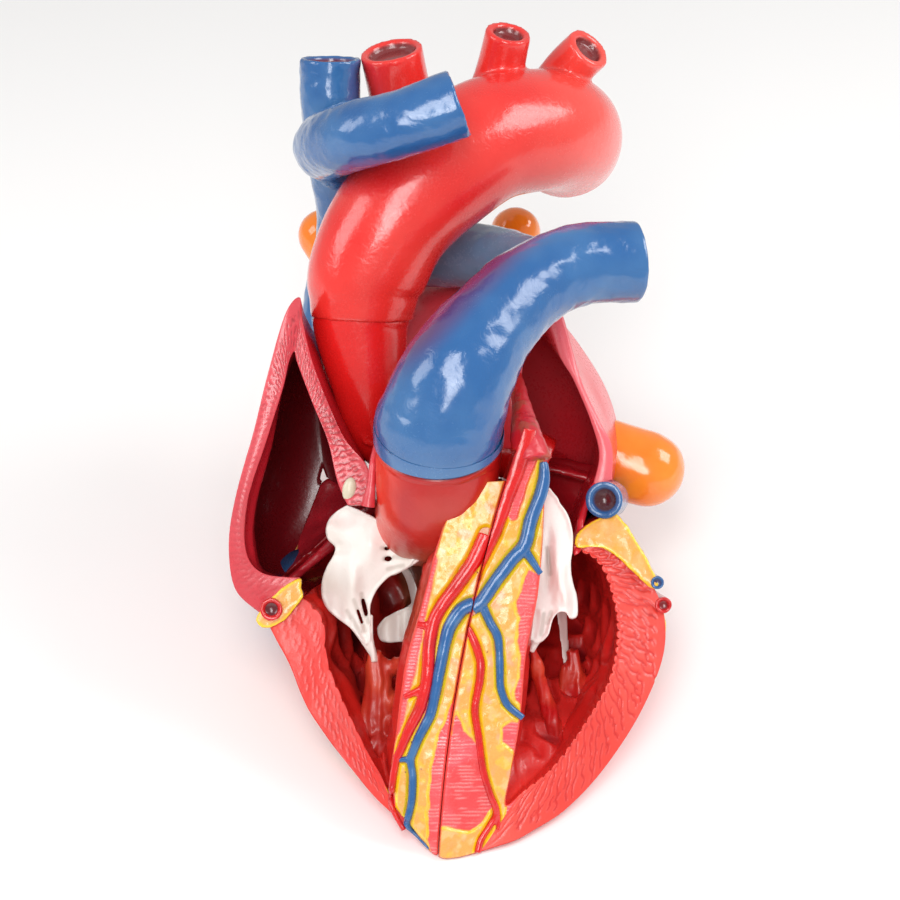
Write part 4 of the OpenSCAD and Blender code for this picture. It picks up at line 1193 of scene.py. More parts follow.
def makeLeaf(name, spec, body, nodes, bend, folds):
    mesh, spots, pixels, grow = flatLeaf(spec)
    slit = np.full(len(spots), 9.0)
    for a, b, wide in spec["slits"]:
        slit = np.minimum(slit, offLine(pixels, [a, b]) * grow)
    groove = 1 - step(0.3, 1.3, slit)
    edge = np.abs(offPatch(pixels, spec["leaf"])) * grow
    inside = offPatch(pixels, spec["leaf"]) < 0
    front = spots[:, 1] < 0
    spots[:, 1] += np.where(front & inside, -0.7 * (1 - step(0.4, 1.6, edge)), 0)
    spots[:, 1] += folds(pixels) + bend(pixels)
    spots[:, 1] += 0.35 * cloudy(spots, 11, 2, 6.0)
    away = photoView["away"]
    scale = (away + spec["depth"] + spots[:, 1]) / (away + spec["depth"])
    spots[:, 1] += spec["depth"]
    spots[:, 0] *= scale
    spots[:, 2] *= scale
    moveVerts(mesh, spots)
    # painted shade: the leaf is painted grey ivory around its slits; the white is random mottle
    hue = washed(spots, spec["tint"],
                 "white", 0.5 + 0.5 * cloudy(spots, 14, 2, 2.0),
                 "shadowIvory", 0.5 * groove)
    paintVerts(mesh, hue)
    finishPiece(mesh, name, body, "valve_white", leafPaint, nodes)


def bump(pixels, at, size, tall):
    off = (pixels - np.array(at)) / np.array(size)
    return tall * np.exp(-(off ** 2).sum(1))


makeLeaf("tricuspidValve", tricuspid, "right_half", ["tricuspid_valve", "tricuspid_chordae"],
         lambda p: 3.5 * np.clip((p[:, 0] - 372) / 40, -1.3, 0) ** 2 * 1.4
         - 3.0 * step(600, 560, p[:, 1]) + bump(p, (344, 512), (16, 14), 4)
         - 6.5 * step(392, 420, p[:, 0]),
         lambda p: bump(p, (336, 548), (14, 6), 2.4) + bump(p, (352, 585), (9, 26), -3.2)
         + bump(p, (330, 528), (9, 10), -1.8) + bump(p, (370, 548), (12, 18), -2.2)
         + 0.5 * np.sin(p[:, 0] * 0.45) * step(590, 630, p[:, 1]))
makeLeaf("tricuspidBackLeaf", tricuspidBack, "right_half", [],
         lambda p: -12 * step(402, 424, p[:, 0]),
         lambda p: 1.1 * np.sin(p[:, 0] * 0.28))
makeLeaf("mitralValve", mitral, "left_half", ["mitral_valve", "mitral_chordae"],
         lambda p: (5.5 * step(562, 580, p[:, 0]) * step(520, 580, p[:, 1])
                    + 3 * step(505, 484, p[:, 1])),
         lambda p: bump(p, (549, 560), (4, 30), 2.6) + bump(p, (558, 575), (4, 26), -2.0)
         + bump(p, (566, 596), (6, 14), -1.6) + bump(p, (571, 545), (5, 14), 1.4)
         + bump(p, (545, 520), (12, 22), -2.5))
makeLeaf("mitralBackLeaf", mitralBack, "left_half", [],
         lambda p: 6 * step(550, 570, p[:, 0]), lambda p: 1.0 * np.sin(p[:, 1] * 0.12))
print("valves done")

# cords as ((photo x, photo y, depth) points, radii)
rightPapillary = [
    ([(375, 652, 23), (377, 664, 25), (379, 684, 26), (378, 706, 27), (372, 730, 30),
      (366, 742, 32)],
     (2.2, 4.2, 5.2, 6.2, 8.4, 9)),
    ([(380, 676, 26), (390, 668, 26), (402, 664, 22), (412, 660, 15)], (4, 3.3, 3.2, 3.6)),
    ([(384, 700, 27), (394, 704, 25), (404, 708, 20), (409, 712, 16)], (4.6, 4, 3.8, 4)),
    ([(382, 722, 29), (394, 726, 26), (404, 722, 20)], (5.5, 5, 4)),
    ([(364, 728, 27), (360, 734, 28), (356, 745, 31)], (3.2, 4.6, 5.4)),
    ([(372, 742, 24), (384, 752, 22), (396, 758, 17)], (5, 5, 4)),
]
leftPapillary = [
    ([(531, 640, 23), (535, 658, 25), (541, 684, 27), (548, 708, 29), (554, 728, 31),
      (557, 738, 33)],
     (1.5, 1.9, 2.5, 3.1, 3.6, 4.4)),
    ([(556, 736, 32), (548, 748, 31), (538, 762, 28), (528, 770, 20)], (3.4, 2.7, 2.6, 3.4)),
    ([(557, 736, 33), (566, 750, 34), (576, 758, 32), (588, 756, 26)], (3.4, 2.6, 2.4, 3.2)),
    ([(556, 738, 33), (557, 752, 36), (554, 772, 32)], (3.4, 3, 3.6)),
    ([(572, 650, 46), (577, 680, 47), (584, 706, 46), (590, 726, 42)], (2.4, 3.6, 4.6, 6)),
    ([(566, 664, 45), (566, 690, 48), (562, 716, 50)], (2.0, 3.4, 5)),
    ([(590, 706, 45), (600, 690, 44), (612, 676, 38)], (3, 2.2, 3)),
    ([(536, 700, 44), (545, 716, 46), (540, 738, 42)], (2.6, 2.6, 3)),
    ([(594, 730, 38), (606, 716, 36), (620, 704, 30)], (2.6, 2, 2.6)),
]


def makePapillary(name, cords, body, node, voxel, hues, seed):
    bm = bmesh.new()
    for path, radii in cords:
        tube(bm, [fromPhoto(p[:2], p[2]) for p in path], radii, 14, 20, start=(0, 1, 0.05))
    mesh = skinned(bm, voxel, 5)
    spots = coordinates(mesh)
    lump = 0.6 * cloudy(spots, 9, 3, seed)
    ribs = 0.25 * np.sin(spots[:, 0] * 2.1 + 1.8 * cloudy(spots, 8, 2, seed + 1))
    moveVerts(mesh, keepAbove(spots + normals(mesh) * (lump + ribs)[:, None], 2))
    # paler towards the top; the lowest parts, deep in the cavity, are painted darker as painted
    # shade
    hue = washed(spots, hues[0],
                 hues[1], 0.2 + 0.6 * lump + 0.6 * step(-74, -62, spots[:, 2]) * hues[2])
    paintVerts(mesh, blendTo(hue, tint("muscleDeep"), step(-88, -108, spots[:, 2]) * 0.7))
    finishPiece(mesh, name, body, "papillary_red", musclePaint, [node])


makePapillary("rightPapillaryMuscles", rightPapillary, "right_half", "right_papillary_muscles",
              0.8,
              ("papilla", "papillaPale", 0.3), 3.0)
makePapillary("leftPapillaryMuscles", leftPapillary, "left_half", "left_papillary_muscles", 0.7,
              ("leftDeep", "papillaPale", 0.8), 5.0)
print("papillary muscles done")

# outflow under the trunk, and the trunk that lifts off
conus = {
    "seat": np.array([-4, -4, 4.0]), "radius": 23.5, "wall": 4, "spigot": (18.9, 15.9, 7),
    "path": [[-5, 4, -12], [-7, 14, -20], [-10, 26, -25], [-13, 40, -27]],
    "radii": (23.1, 22.7, 21.8, 20, 18.2, 15), "steps": 46, "around": 96,
}
trunk = {
    "path": [[-3, -10, 11.7], [3, -14, 27], [14, -9, 44], [29, 1, 59], [46, 8, 67], [67, 14, 69]],
    "radii": (23.5, 23.4, 22.6, 20.6, 17.2, 15.6, 14.8, 14.9), "bore": (4, 12), "lumen": (2.6, 6),
}
outflowPaint = enamel("outflowEnamel", None, (0.80, 0.70, 0.66, 1), rough=0.34, crinkle=260,
                      bump=0.3, coat=0.25)
venousPaint = enamel("venousEnamel", None, (0.74, 0.80, 0.86, 1), rough=0.2, crinkle=170, bump=0.5,
                     coat=0.6, cloud=30)


def ringOf(matrix, around, wall=0.0):
    # points of one tube ring, or of the one this far inside it
    size = matrix.to_scale()[0]
    share = (size - wall) / size
    turns = [2 * math.pi * k / around for k in range(around)]
    return [matrix @ Vector((share * math.cos(a), share * math.sin(a), 0)) for a in turns]


def makeConus():
    seat, count = conus["seat"], conus["around"]
    path = [seat, seat - 6 * upward] + conus["path"]
    rings = [r[0] for r in stations(path, conus["radii"], conus["steps"], (0, 1, 0.4))]
    outside = [ringOf(m, count) for m in rings]
    inside = [ringOf(m, count, conus["wall"]) for m in rings[4:]]
    mouth = [ringOf(rings[4], count, 22.6 - conus["spigot"][1])]
    wide, bore, tall = conus["spigot"]
    top = rings[0]
    lifted = Matrix.Translation(Vector(upward * tall)) @ top
    bevelled = Matrix.Translation(Vector(upward * (tall - 0.5))) @ top
    spigot = [ringOf(ring, count, 23.1 - size) for ring, size in (
        (top, bore + 0.2), (lifted, bore), (lifted, wide - 0.5), (bevelled, wide), (top, wide))]
    bm = bmesh.new()
    loft(bm, outside[::-1] + spigot[::-1] + mouth + inside + outside[-1:], (False, False))
    bmesh.ops.remove_doubles(bm, verts=bm.verts, dist=0.01)
    mesh = meshOf(bm)
    spots, out = coordinates(mesh), normals(mesh)
    pixels = toPhoto(spots)
    wave = cloudy(spots, 13, 3, 2.2)
    moveVerts(mesh, spots + out * (0.35 * wave * (spots[:, 2] < 1))[:, None])
    # painted light: the left side is painted paler; the orange patch and the tan low down are the
    # paint's own colours
    hue = washed(spots, "conusRed",
                 "conusPaintedLight", step(408, 378, pixels[:, 0]) * 0.85 + 0.2 * wave,
                 "papilla", step(400, 436, pixels[:, 0]) * step(470, 520, pixels[:, 1]) * 0.7,
                 "tan", step(-33, -41, spots[:, 2]) * 0.6)
    # painted shade: faces turned up, under the seated trunk, are painted darker
    paintVerts(mesh, blendTo(hue, tint("muscleDeep"), (out @ upward > 0.5) * 0.4))
    finishPiece(mesh, "conusOutflow", "right_half", "muscle_red", outflowPaint, ["conus"])


def makeTrunk():
    base = conus["seat"] + standing["gap"] * upward
    bm = bmesh.new()
    ends = tube(bm, [base, base + 5 * upward] + trunk["path"], trunk["radii"], 110, 96,
                near=trunk["bore"], far=trunk["lumen"], start=(0.2, 1, 0.4))
    mesh = meshOf(bm)
    spots, out = coordinates(mesh), normals(mesh)
    low = (spots - base) @ upward
    skin = step(3, 12, low)
    dents = 0.5 * cloudy(spots, 18, 3, 4.4) + 0.28 * cloudy(spots, 5, 2, 9.0)
    moveVerts(mesh, spots + out * (dents * skin)[:, None])
    # painted highlight: paler along the bottom rim, and random pale mottle over all of it
    hue = washed(spots, "blue",
                 "bluePale", 0.12 + 0.3 * cloudy(spots, 24, 3, 1.1) + 0.3 * step(9, 1, low))
    upper = step(0.2, 0.75, out @ unit(np.array([-0.55, 0.2, 0.75])))
    hue = washed(hue, "purple", upper * step(20, 40, spots[:, 2]) * step(40, 12, spots[:, 0])
                 * 0.85,
                 "maroon", lumenShare(spots, [endOf(ends)], trunk["lumen"][0]))
    # painted shade: the socket's down-facing ceiling is painted darker
    paintVerts(mesh, blendTo(hue, tint("blueDeep"),
                             (low < 13) * (out @ upward < -0.95) * (low > 1)))
    finishPiece(mesh, "pulmonaryTrunk", "trunk", "vein_blue", venousPaint, ["pulmonary_trunk"])


makeConus()
makeTrunk()
print("outflow and trunk done")

# blue veins behind and in front of the aorta
veins = {
    "cava": ([[-45, 40, 147], [-45, 45, 128], [-42, 56, 108], [-40, 70, 86], [-45, 76, 60],
              [-49, 72, 36]], (11.7, 11.4, 11.9, 11.7, 11.7, 10.7)),
    "crossing": ([[-42, 48, 108], [-46, 36, 111], [-45, 20, 112], [-34, -3, 113], [-17, -12, 116],
                  [3, -13, 123]], (9.5, 10.4, 12.4, 12.6, 12.2, 12.4)),
    "lung": ([[32, 46, 67], [15, 62, 74], [-8, 74, 76], [-21, 78, 77]], (12.6, 12.8, 12.6, 12)),
    "wall": 2.6, "lumen": 5,
}


def makeVeins(name, tubes, body, node, hues, seed):
    bm = bmesh.new()
    ends = []
    for line, sizes, nearCut, farCut in tubes:
        cut = (veins["wall"], veins["lumen"])
        rings = tube(bm, line, sizes, 70, 60, near=cut if nearCut else None,
                     far=cut if farCut else None)
        if nearCut:
            ends.append((np.array(rings[0][0].translation), -rings[0][2], rings[0][1]))
        if farCut:
            ends.append(endOf(rings))
    mesh = skinned(bm, 0.8, 4)
    spots, out = coordinates(mesh), normals(mesh)
    share = lumenShare(spots, ends, veins["wall"])
    dents = 0.4 * cloudy(spots, 15, 3, seed) + 0.2 * cloudy(spots, 5, 2, seed + 2)
    moveVerts(mesh, spots + out * (dents * (1 - share))[:, None])
    hue = washed(spots, hues[0],
                 hues[1], 0.1 + 0.35 * cloudy(spots, 20, 3, seed + 5))
    paintVerts(mesh, blendTo(hue, tint("maroon"), share))
    finishPiece(mesh, name, body, "vein_blue", venousPaint, node)


makeVeins("cavalVeins", [(*veins["cava"], True, False), (*veins["crossing"], False, True)],
          "right_half", ["superior_vena_cava", "left_brachiocephalic_vein"], ("blue", "bluePale"),
          2.0)
makeVeins("rightLungArtery", [(*veins["lung"], True, True)], "left_half",
          ["right_pulmonary_artery"],
          ("greyBlue", "bluePale"), 7.0)
print("blue veins done")

# fat and cut vessels in the grooves between atria and ventricles
grooves = {"rows": 60, "around": 84, "voxel": 0.6}
ringPaint = enamel("ringEnamel", None, (0.80, 0.74, 0.76, 1), rough=0.2, crinkle=380, bump=0.3,
                   coat=0.5)


def at(which, inner, s, t):
    return pairs[which][1 if inner else 0](np.array([float(s)]), np.array([float(t)]))[0]


def rightBand(t):
    rvOuter, rvInner = at("rightVentricle", 0, 0, t), at("rightVentricle", 1, 0, t)
    raOuter, raInner = at("rightAtrium", 0, 0, t * 0.88), at("rightAtrium", 1, 0, t * 0.88)
    push = np.array([-1.5, 0, -0.5])
    return [rvOuter + push * 0.5, (rvOuter + raOuter) / 2 + push * 1.8, raOuter + push * 0.4,
            (raOuter + raInner) / 2 + [0, 0, 2], raInner, (raInner + rvInner) / 2, rvInner,
            (rvOuter + rvInner) / 2 + [0, 0, -2.5]]


def leftBand(t):
    lv = [at("leftVentricle", 0, s, t) for s in (0.1, 1, 2, 2.9)]
    laOuter, laInner = at("leftAtrium", 0, 0, t * 0.88), at("leftAtrium", 1, 0, t * 0.88)
    mixed = lambda a, b, f: a + (b - a) * f
    return [lv[0] + [0, 0, -2], lv[1] + [0, 0, -3], lv[2] + [-2, 0, -2.5], lv[3] + [-1.5, 0, 0],
            lv[3] + [1.2, 0, 3.5], mixed(laOuter, (lv[1] + lv[2]) / 2, 0.52) + [1.5, 0, 0],
            mixed(laInner, lv[1], 0.55), mixed(laInner, lv[0], 0.8)]


def makeBand(name, band, body, node, sunk, last, seed, shades=None, slot="fat_yellow",
             material=None):
    bm = bmesh.new()
    rings = []
    for row in range(grooves["rows"] + 1):
        corners = np.array(band(last * row / grooves["rows"]))
        corners[:, 1] += sunk * (row == 0)
        closed = np.vstack([corners[-1:], corners, corners[:2]])
        turns = 1 + np.arange(grooves["around"]) / grooves["around"] * len(corners)
        rings.append(keepAbove(curveAt(closed, turns), 0.2))
    loft(bm, rings)
    mesh = skinned(bm, grooves["voxel"], 3)
    spots, out = coordinates(mesh), normals(mesh)
    frontLine = toPhoto(rings[0])
    edge = -offPatch(toPhoto(spots), frontLine) * mmPerPixel
    face = step(0.35, 0.75, -out[:, 1]) * (spots[:, 1] < rings[0][:, 1].max() + 3)
    lumps = cloudy(spots, 5.5, 3, seed)
    moveVerts(mesh, keepAbove(spots + out
                              * (0.45 * lumps + 0.3 * face * step(0.3, 2.2, edge))[:, None], 0))
    hue = washed(spots, "fat",
                 "fatPale", 0.35 + 0.6 * lumps,
                 "fatGold", 0.3 - 0.6 * cloudy(spots, 3, 2, seed + 4),
                 "outline", face * step(1.4, 0.5, edge) * 0.9)
    # painted shade: faces turned into the chamber are painted in the chamber's dark inner colour
    inward = step(0.1, 0.5, out @ unit(np.array([1.0 if body == "right_half" else -1.0, -0.2,
                                                 0.4])))
    hue = blendTo(hue, tint("atriumDark" if body == "right_half" else "leftAtriumDeep"),
                  inward * (1 - face))
    if shades:
        hue = washed(spots, shades[0], shades[1], 0.4 + 0.4 * lumps)
    paintVerts(mesh, hue)
    finishPiece(mesh, name, body, slot, material or fatPaint, node)


def cutVessel(name, route, radii, body, slot, node, hues, cut, seed):
    # a vessel in a groove, cut open at the mating face
    bm = bmesh.new()
    rings = tube(bm, [list(p) for p in route], radii, 60, 40, near=cut, start=(0.05, 0.1, 1))
    mesh = meshOf(bm)
    spots, out = coordinates(mesh), normals(mesh)
    end = (np.array(rings[0][0].translation), -rings[0][2], rings[0][1])
    share = lumenShare(spots, [end], cut[0])
    moveVerts(mesh, keepAbove(spots + out * (0.18 * cloudy(spots, 5, 2, seed))[:, None], 0.1))
    hue = washed(spots, hues[0],
                 hues[1], 0.15 + 0.4 * cloudy(spots, 9, 2, seed))
    paintVerts(mesh, blendTo(hue, tint("maroonDeep"), share))
    finishPiece(mesh, name, body, slot, ringPaint, node)


def rightCoronary(t):
    band = rightBand(t)
    return np.array(band[1]) * 0.72 + np.array(band[5]) * 0.28 + [0.8, -5 if t == 0 else 0, 1.5]


def sinusPoint(t):
    laOuter, laInner = at("leftAtrium", 0, 0, t * 0.88), at("leftAtrium", 1, 0, t * 0.88)
    return ((laOuter + laInner) / 2) * 0.73 + at("leftVentricle", 0, 1.1, t) * 0.27 + [
        0 if t == 0 else 3, -7 if t == 0 else 0, 0]


def leftRing(t):
    # wall inside the groove, from the atrium down to the ventricle
    la, lv = at("leftAtrium", 1, 0, t * 0.88), at("leftVentricle", 1, 0, t)
    middle = (la + lv) / 2 + [-1.5, 0, 0]
    out = np.array([2.6, 0, 0])
    return [la + [0, 0, 2], middle, lv + [-0.5, 0, -1], lv + out, middle + out,
            la + out + [0, 0, 2]]


makeBand("rightGrooveFat", rightBand, "right_half", ["right_groove_fat"], -2.2, 0.9, 4.0)
makeBand("leftRingWall", leftRing, "left_half", [], -0.5, 0.5, 2.0,
         ("leftAtriumDeep", "leftAtrium"), "atrium_red", atriumPaint)
makeBand("leftGrooveFat", leftBand, "left_half", ["left_groove_fat"], -2.5, 0.92, 6.0)
deeper = [0, 0.06, 0.16, 0.3, 0.45, 0.6, 0.74]
cutVessel("rightCoronaryArtery", [rightCoronary(t) for t in deeper],
          (4.1, 4.1, 4, 3.8, 3.4, 3, 2.4),
          "right_half", "coronary_red", ["right_coronary_artery"], ("coronary", "coronaryDeep"),
          (1.5, 1.1), 3.1)
cutVessel("coronarySinus", [sinusPoint(t) for t in deeper], (6.9, 6.9, 6.8, 6.6, 6.3, 6, 5.4),
          "left_half", "vein_blue", ["coronary_sinus"], ("blue", "bluePale"), (2.5, 4), 5.2)
cutVessel("circumflexVein", [at("leftVentricle", 0, 2.85, t) + [1.6, -3.4 if t == 0 else 0, 1.2]
                             for t in deeper], (2.4, 2.4, 2.3, 2.2, 2, 1.8, 1.4),
          "left_half", "vein_blue", ["circumflex_vein"], ("blue", "blueDeep"), (0.9, 0.8), 7.3)
cutVessel("circumflexArtery", [at("leftVentricle", 0, 3.5, t) + [0.4, -2.4 if t == 0 else 0, 0.6]
                               for t in deeper], (3.0, 3.0, 2.9, 2.7, 2.4, 2.1, 1.6),
          "left_half", "coronary_red", ["circumflex_artery"], ("coronary", "coronaryDeep"),
          (1.2, 0.9), 9.4)
print("grooves done")

# vessels and fat over the outside of the ventricles, as (s, t) routes
outsides = {
    "rightVentricle": {
        "body": "right_half",
        "arteries": [([(0.3, 0.16), (1.2, 0.12), (2.2, 0.1), (3.4, 0.07), (4.4, 0.05),
                       (5.3, 0.05)], 1.7),
                     ([(1.2, 0.12), (1.8, 0.2), (2.6, 0.26), (3.5, 0.3)], 1.1),
                     ([(0.3, 0.5), (1.0, 0.46), (2.0, 0.44), (3.2, 0.4), (4.2, 0.36)], 1.3)],
        "veins": [([(0.4, 0.22), (1.3, 0.17), (2.4, 0.15), (3.5, 0.11), (4.5, 0.09), (5.4, 0.08)],
                   1.5),
                  ([(0.4, 0.56), (1.1, 0.53), (2.1, 0.5), (3.3, 0.47)], 1.2)],
        "fats": [([(0.2, 0.2), (1.2, 0.145), (2.3, 0.125), (3.4, 0.09), (4.4, 0.07), (5.5, 0.065)],
                  3.6),
                 ([(0.2, 0.54), (1.0, 0.5), (2.1, 0.47), (3.3, 0.43)], 3.0)],
    },
    "leftVentricle": {
        "body": "left_half",
        "arteries": [([(3.6, 0.2), (4.6, 0.22), (5.8, 0.22), (7.0, 0.2), (8.2, 0.18)], 1.6),
                     ([(4.6, 0.22), (5.2, 0.32), (6.0, 0.4), (7.0, 0.44)], 1.1),
                     ([(3.6, 0.5), (4.6, 0.54), (5.8, 0.56), (7.0, 0.56)], 1.3)],
        "veins": [([(3.2, 0.26), (4.4, 0.29), (5.6, 0.29), (6.9, 0.27), (8.1, 0.24)], 1.4),
                  ([(3.2, 0.6), (4.4, 0.63), (5.6, 0.64)], 1.2)],
        "fats": [([(3.3, 0.0), (4.0, 0.0), (4.8, 0.0), (5.6, 0.0), (6.4, 0.0)], 1.4),
                 ([(3.4, 0.24), (4.5, 0.25), (5.7, 0.25), (7.0, 0.23)], 3.2),
                 ([(3.4, 0.55), (4.5, 0.58), (5.7, 0.6)], 2.8)],
    },
}


def routeOver(which, route, sunk):
    # points along the outside of a ventricle, this far under its surface
    fine = np.array(smoothLine([(s, t) for s, t in route], 4 * len(route)))
    s, t = fine[:, 0], np.clip(fine[:, 1], 0.004, 0.98)
    outer = pairs[which][0]
    across = outer(s + 0.02, t) - outer(s - 0.02, t)
    deep = outer(s, t + 0.004) - outer(s, t)
    away = np.cross(across, deep)
    away /= np.maximum(np.linalg.norm(away, axis=1), 1e-9)[:, None]
    spots = outer(s, t)
    away *= np.sign(((spots - [0, 50, -60]) * away).sum(1))[:, None]
    return keepAbove(spots - away * sunk, 1.5)


def makeOutsides(which, spec):
    for kind, slot, material, hues in (
            ("arteries", "coronary_red", vesselPaint, ("coronary", "coronaryDeep")),
            ("veins", "vein_blue", vesselPaint, ("blue", "bluePale")),
            ("fats", "fat_yellow", fatPaint, ("fat", "outline"))):
        bm = bmesh.new()
        for route, size in spec[kind]:
            sunk = size * 0.72 if kind == "fats" else size * 0.1
            tube(bm, routeOver(which, route, sunk), (size, size, size * 0.8, size * 0.45),
                 6 * len(route), 20, start=(0.1, 0.3, 1))
        mesh = skinned(bm, 0.45 if kind != "fats" else 0.7, 2)
        spots, out = coordinates(mesh), normals(mesh)
        lumps = cloudy(spots, 4.5, 2, 3.3)
        moveVerts(mesh, keepAbove(spots + out * (0.3 * lumps * (kind == "fats"))[:, None], 0.2))
        hue = washed(spots, hues[0], hues[1], 0.25 + 0.5 * lumps)
        paintVerts(mesh, hue)
        finishPiece(mesh, which + "Outer" + kind.capitalize(), spec["body"], slot, material)


for which, spec in outsides.items():
    makeOutsides(which, spec)
print("outer vessels done")

# small solids kept as they are, with their own finish
creamPaint = enamel("creamEnamel", colours["cream"], paint(190, 180, 150), rough=0.4, crinkle=500)
orangePaint = enamel("orangeEnamel", colours["orange"], colours["orangePale"], rough=0.16,
                     crinkle=110, cloud=24, bump=0.35, coat=0.6)
cuspPaint = enamel("cuspEnamel", colours["ivory"], colours["shadowIvory"], rough=0.4, crinkle=300)
lowerCavaPaint = enamel("lowerCavaEnamel", colours["blue"], colours["bluePale"], rough=0.22,
                        crinkle=200, bump=0.4, coat=0.5)
steelPaint = enamel("magnetSteel", (0.55, 0.56, 0.58, 1), (0.42, 0.43, 0.45, 1), rough=0.3,
                    crinkle=700, bump=0.05, coat=0.0)
steelPaint.node_tree.nodes["Principled BSDF"].inputs["Metallic"].default_value = 1.0
lungVeins = {
    "rightUpper": ([-27, 103, 54], [-54, 112, 92], 11),
    "rightLower": ([-32, 108, 40], [-62, 118, 44], 11),
    "leftUpper": ([18, 104, 58], [28, 112, 94], 10),
    "leftLower": ([61, 87, -2.4], [86, 84, -10], 15),
}


def makeLungVein(name, near, far, radius):
    near, far = np.array(near, float), np.array(far, float)
    length = np.linalg.norm(far - near) + 0.4 * radius
    far = near + unit(far - near) * length
    turns = np.linspace(0, math.pi / 2, 15)[:-1]
    straight = 1 - radius / length
    places = [straight * k / 6 for k in range(6)]
    places += [straight + radius / length * math.sin(q) for q in turns]
    radii = [radius] * 6 + [radius * math.cos(q) for q in turns]
    bm = bmesh.new()
    tube(bm, [near + (far - near) * p for p in places], radii, 90, 48)
    mesh = meshOf(bm)
    spots = coordinates(mesh)
    moveVerts(mesh, spots + normals(mesh) * (0.35 * cloudy(spots, 12, 2, 3.7))[:, None])
    side = "right" if name.startswith("right") else "left"
    node = side + "_" + name[-5:].lower() + "_pulmonary_vein"
    finishPiece(mesh, name + "LungVein", "left_half", "lung_vein_orange", orangePaint, [node])


for name, (near, far, radius) in lungVeins.items():
    makeLungVein(name, near, far, radius)

# cream plug in the atrium's cut face, and the lower caval vein down to the table
inlay = {"centre": (349.3, 489), "depth": 6.2, "size": (2.5, 1.7, 4.3), "turn": 12}
bm = bmesh.new()
bmesh.ops.create_uvsphere(bm, u_segments=40, v_segments=24, radius=1)
bmesh.ops.transform(bm, verts=bm.verts, matrix=Matrix.Translation(fromPhoto(inlay["centre"],
                                                                            inlay["depth"]))
                    @ Matrix.Rotation(math.radians(inlay["turn"]), 4, "Y")
                    @ Matrix.Diagonal((*inlay["size"], 1)))
finishPiece(meshOf(bm), "fibrousRingInlay", "right_half", "inlay_cream", creamPaint,
            ["fibrous_ring_inlay"])

lowerCava = {"top": np.array([-54, 72.9, -46.2]), "radius": 13, "wall": 3, "lumen": 6}
foot = lowerCava["top"] - (lowerCava["top"] @ upward + floorRise) * upward
bm = bmesh.new()
tube(bm, [foot, (foot + lowerCava["top"]) / 2, lowerCava["top"]], (lowerCava["radius"],) * 3, 24,
     56,
     near=(lowerCava["wall"], lowerCava["lumen"]))
mesh = meshOf(bm)
spots = coordinates(mesh)
lift = step(0.5, 6, spots @ upward + floorRise)
moveVerts(mesh, keepAbove(spots + normals(mesh)
                          * (0.35 * lift * cloudy(spots, 9, 2, 5.1))[:, None], 0))
finishPiece(mesh, "inferiorVenaCava", "right_half", "vein_blue", lowerCavaPaint,
            ["inferior_vena_cava"])

# top of the septum narrowing up beside the trunk to the left atrium's rim
septumLimb = {"path": [(532, 462, -9), (527, 440, -6), (523, 416, 8), (519, 390, 24),
                       (517, 374, 34)],
              "radii": (7.4, 6.0, 4.2, 2.8, 1.8)}
bm = bmesh.new()
tube(bm, [fromPhoto(p[:2], p[2]) for p in septumLimb["path"]], septumLimb["radii"], 50, 36,
     start=(1, 0, 0.1))
mesh = skinned(bm, 0.7, 4)
spots = coordinates(mesh)
lumps = cloudy(spots, 6, 3, 2.9)
spots = spots + normals(mesh) * (0.4 * lumps)[:, None]
moveVerts(mesh, np.where(spots[:, 2:] < 0, keepSide(spots.copy(), 1), spots))
hue = washed(spots, "atrium", "coronary", step(526, 519, toPhoto(spots)[:, 0]))
paintVerts(mesh, blendTo(hue, tint("tan"), 0.5 * step(0.1, 0.5, lumps)))
finishPiece(mesh, "septumLimb", "left_half", "muscle_red", wallPaint)

# right branch of the atrium's foot, up along the outflow
footBranch = {"path": [(368, 506, 4), (371, 486, 3), (373, 462, 4), (377, 441, 8)],
              "radii": (2.6, 1.7, 1.2, 0.9)}
bm = bmesh.new()
tube(bm, [fromPhoto(p[:2], p[2]) for p in footBranch["path"]], footBranch["radii"], 40, 24,
     start=(1, 0, 0.1))
mesh = meshOf(bm)
spots = coordinates(mesh)
paintVerts(mesh, washed(spots, "atriumPale", "atrium",
                         0.5 + 0.5 * cloudy(spots, 3, 2, 1.2)))
finishPiece(mesh, "atriumFootBranch", "right_half", "atrium_red", atriumPaint)

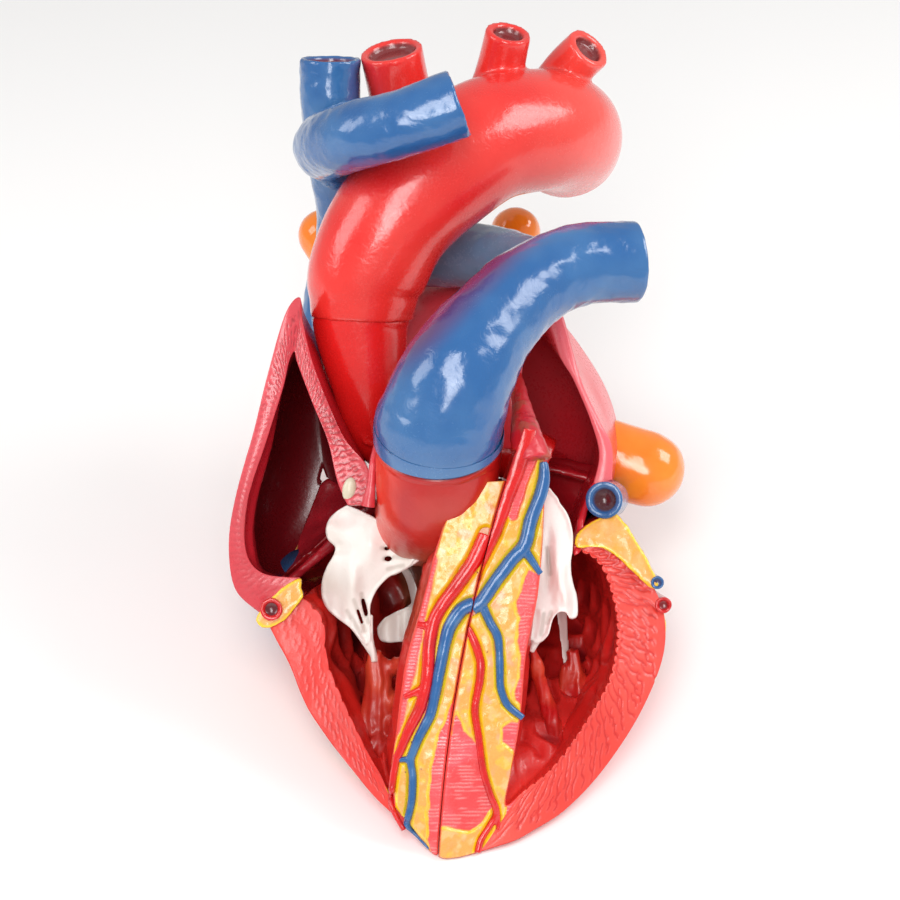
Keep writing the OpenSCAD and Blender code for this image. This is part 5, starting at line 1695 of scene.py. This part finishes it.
kept = {
    "pulmonary_valve": cuspPaint,
    "right_septum_magnets": steelPaint, "left_septum_magnets": steelPaint,
}
for nodeName, finish in kept.items():
    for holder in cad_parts[nodeName].material_slots:
        holder.material = finish
print("kept solids finished")

# table, lamps and room
studio = {"floorSize": 6.0, "floorColour": (0.93, 0.925, 0.92, 1), "roomLight": 0.5}


def areaLamp(name, place, target, size, watts):
    data = bpy.data.lights.new(name, "AREA")
    data.shape = "RECTANGLE"
    data.size, data.size_y = size
    data.energy = watts
    lamp = bpy.data.objects.new(name, data)
    bpy.context.collection.objects.link(lamp)
    lamp.location = place
    lamp.rotation_euler = (Vector(target) - Vector(place)).to_track_quat("-Z", "Y").to_euler()


bm = bmesh.new()
bmesh.ops.create_grid(bm, x_segments=1, y_segments=1, size=studio["floorSize"])
floorMesh = bpy.data.meshes.new("tableTop")
bm.to_mesh(floorMesh)
bm.free()
floorMaterial = bpy.data.materials.new("tableWhite")
floorMaterial.use_nodes = True
floorSkin = floorMaterial.node_tree.nodes["Principled BSDF"]
floorSkin.inputs["Base Color"].default_value = studio["floorColour"]
floorSkin.inputs["Roughness"].default_value = 0.7
floorMesh.materials.append(floorMaterial)
tableTop = bpy.data.objects.new("tableTop", floorMesh)
bpy.context.collection.objects.link(tableTop)

room = bpy.data.worlds.new("whiteRoom")
bpy.context.scene.world = room
room.use_nodes = True
room.node_tree.nodes["Background"].inputs["Color"].default_value = (1, 0.99, 0.98, 1)
room.node_tree.nodes["Background"].inputs["Strength"].default_value = studio["roomLight"]
areaLamp("softboxFront", (-0.10, -0.55, 0.95), (0.0, 0.02, 0.12), (0.35, 0.5), 4)
areaLamp("softboxLeft", (-0.9, -0.1, 0.7), (0.0, 0.02, 0.1), (0.5, 0.6), 3.6)
areaLamp("softboxRight", (0.9, 0.1, 0.9), (0.0, 0.02, 0.1), (0.6, 0.6), 7)
areaLamp("softboxViewer", (-0.05, -0.85, 0.72), (0.0, 0.0, 0.12), (0.4, 0.3), 3)
bpy.context.scene.view_settings.view_transform = "Standard"
print("studio set")
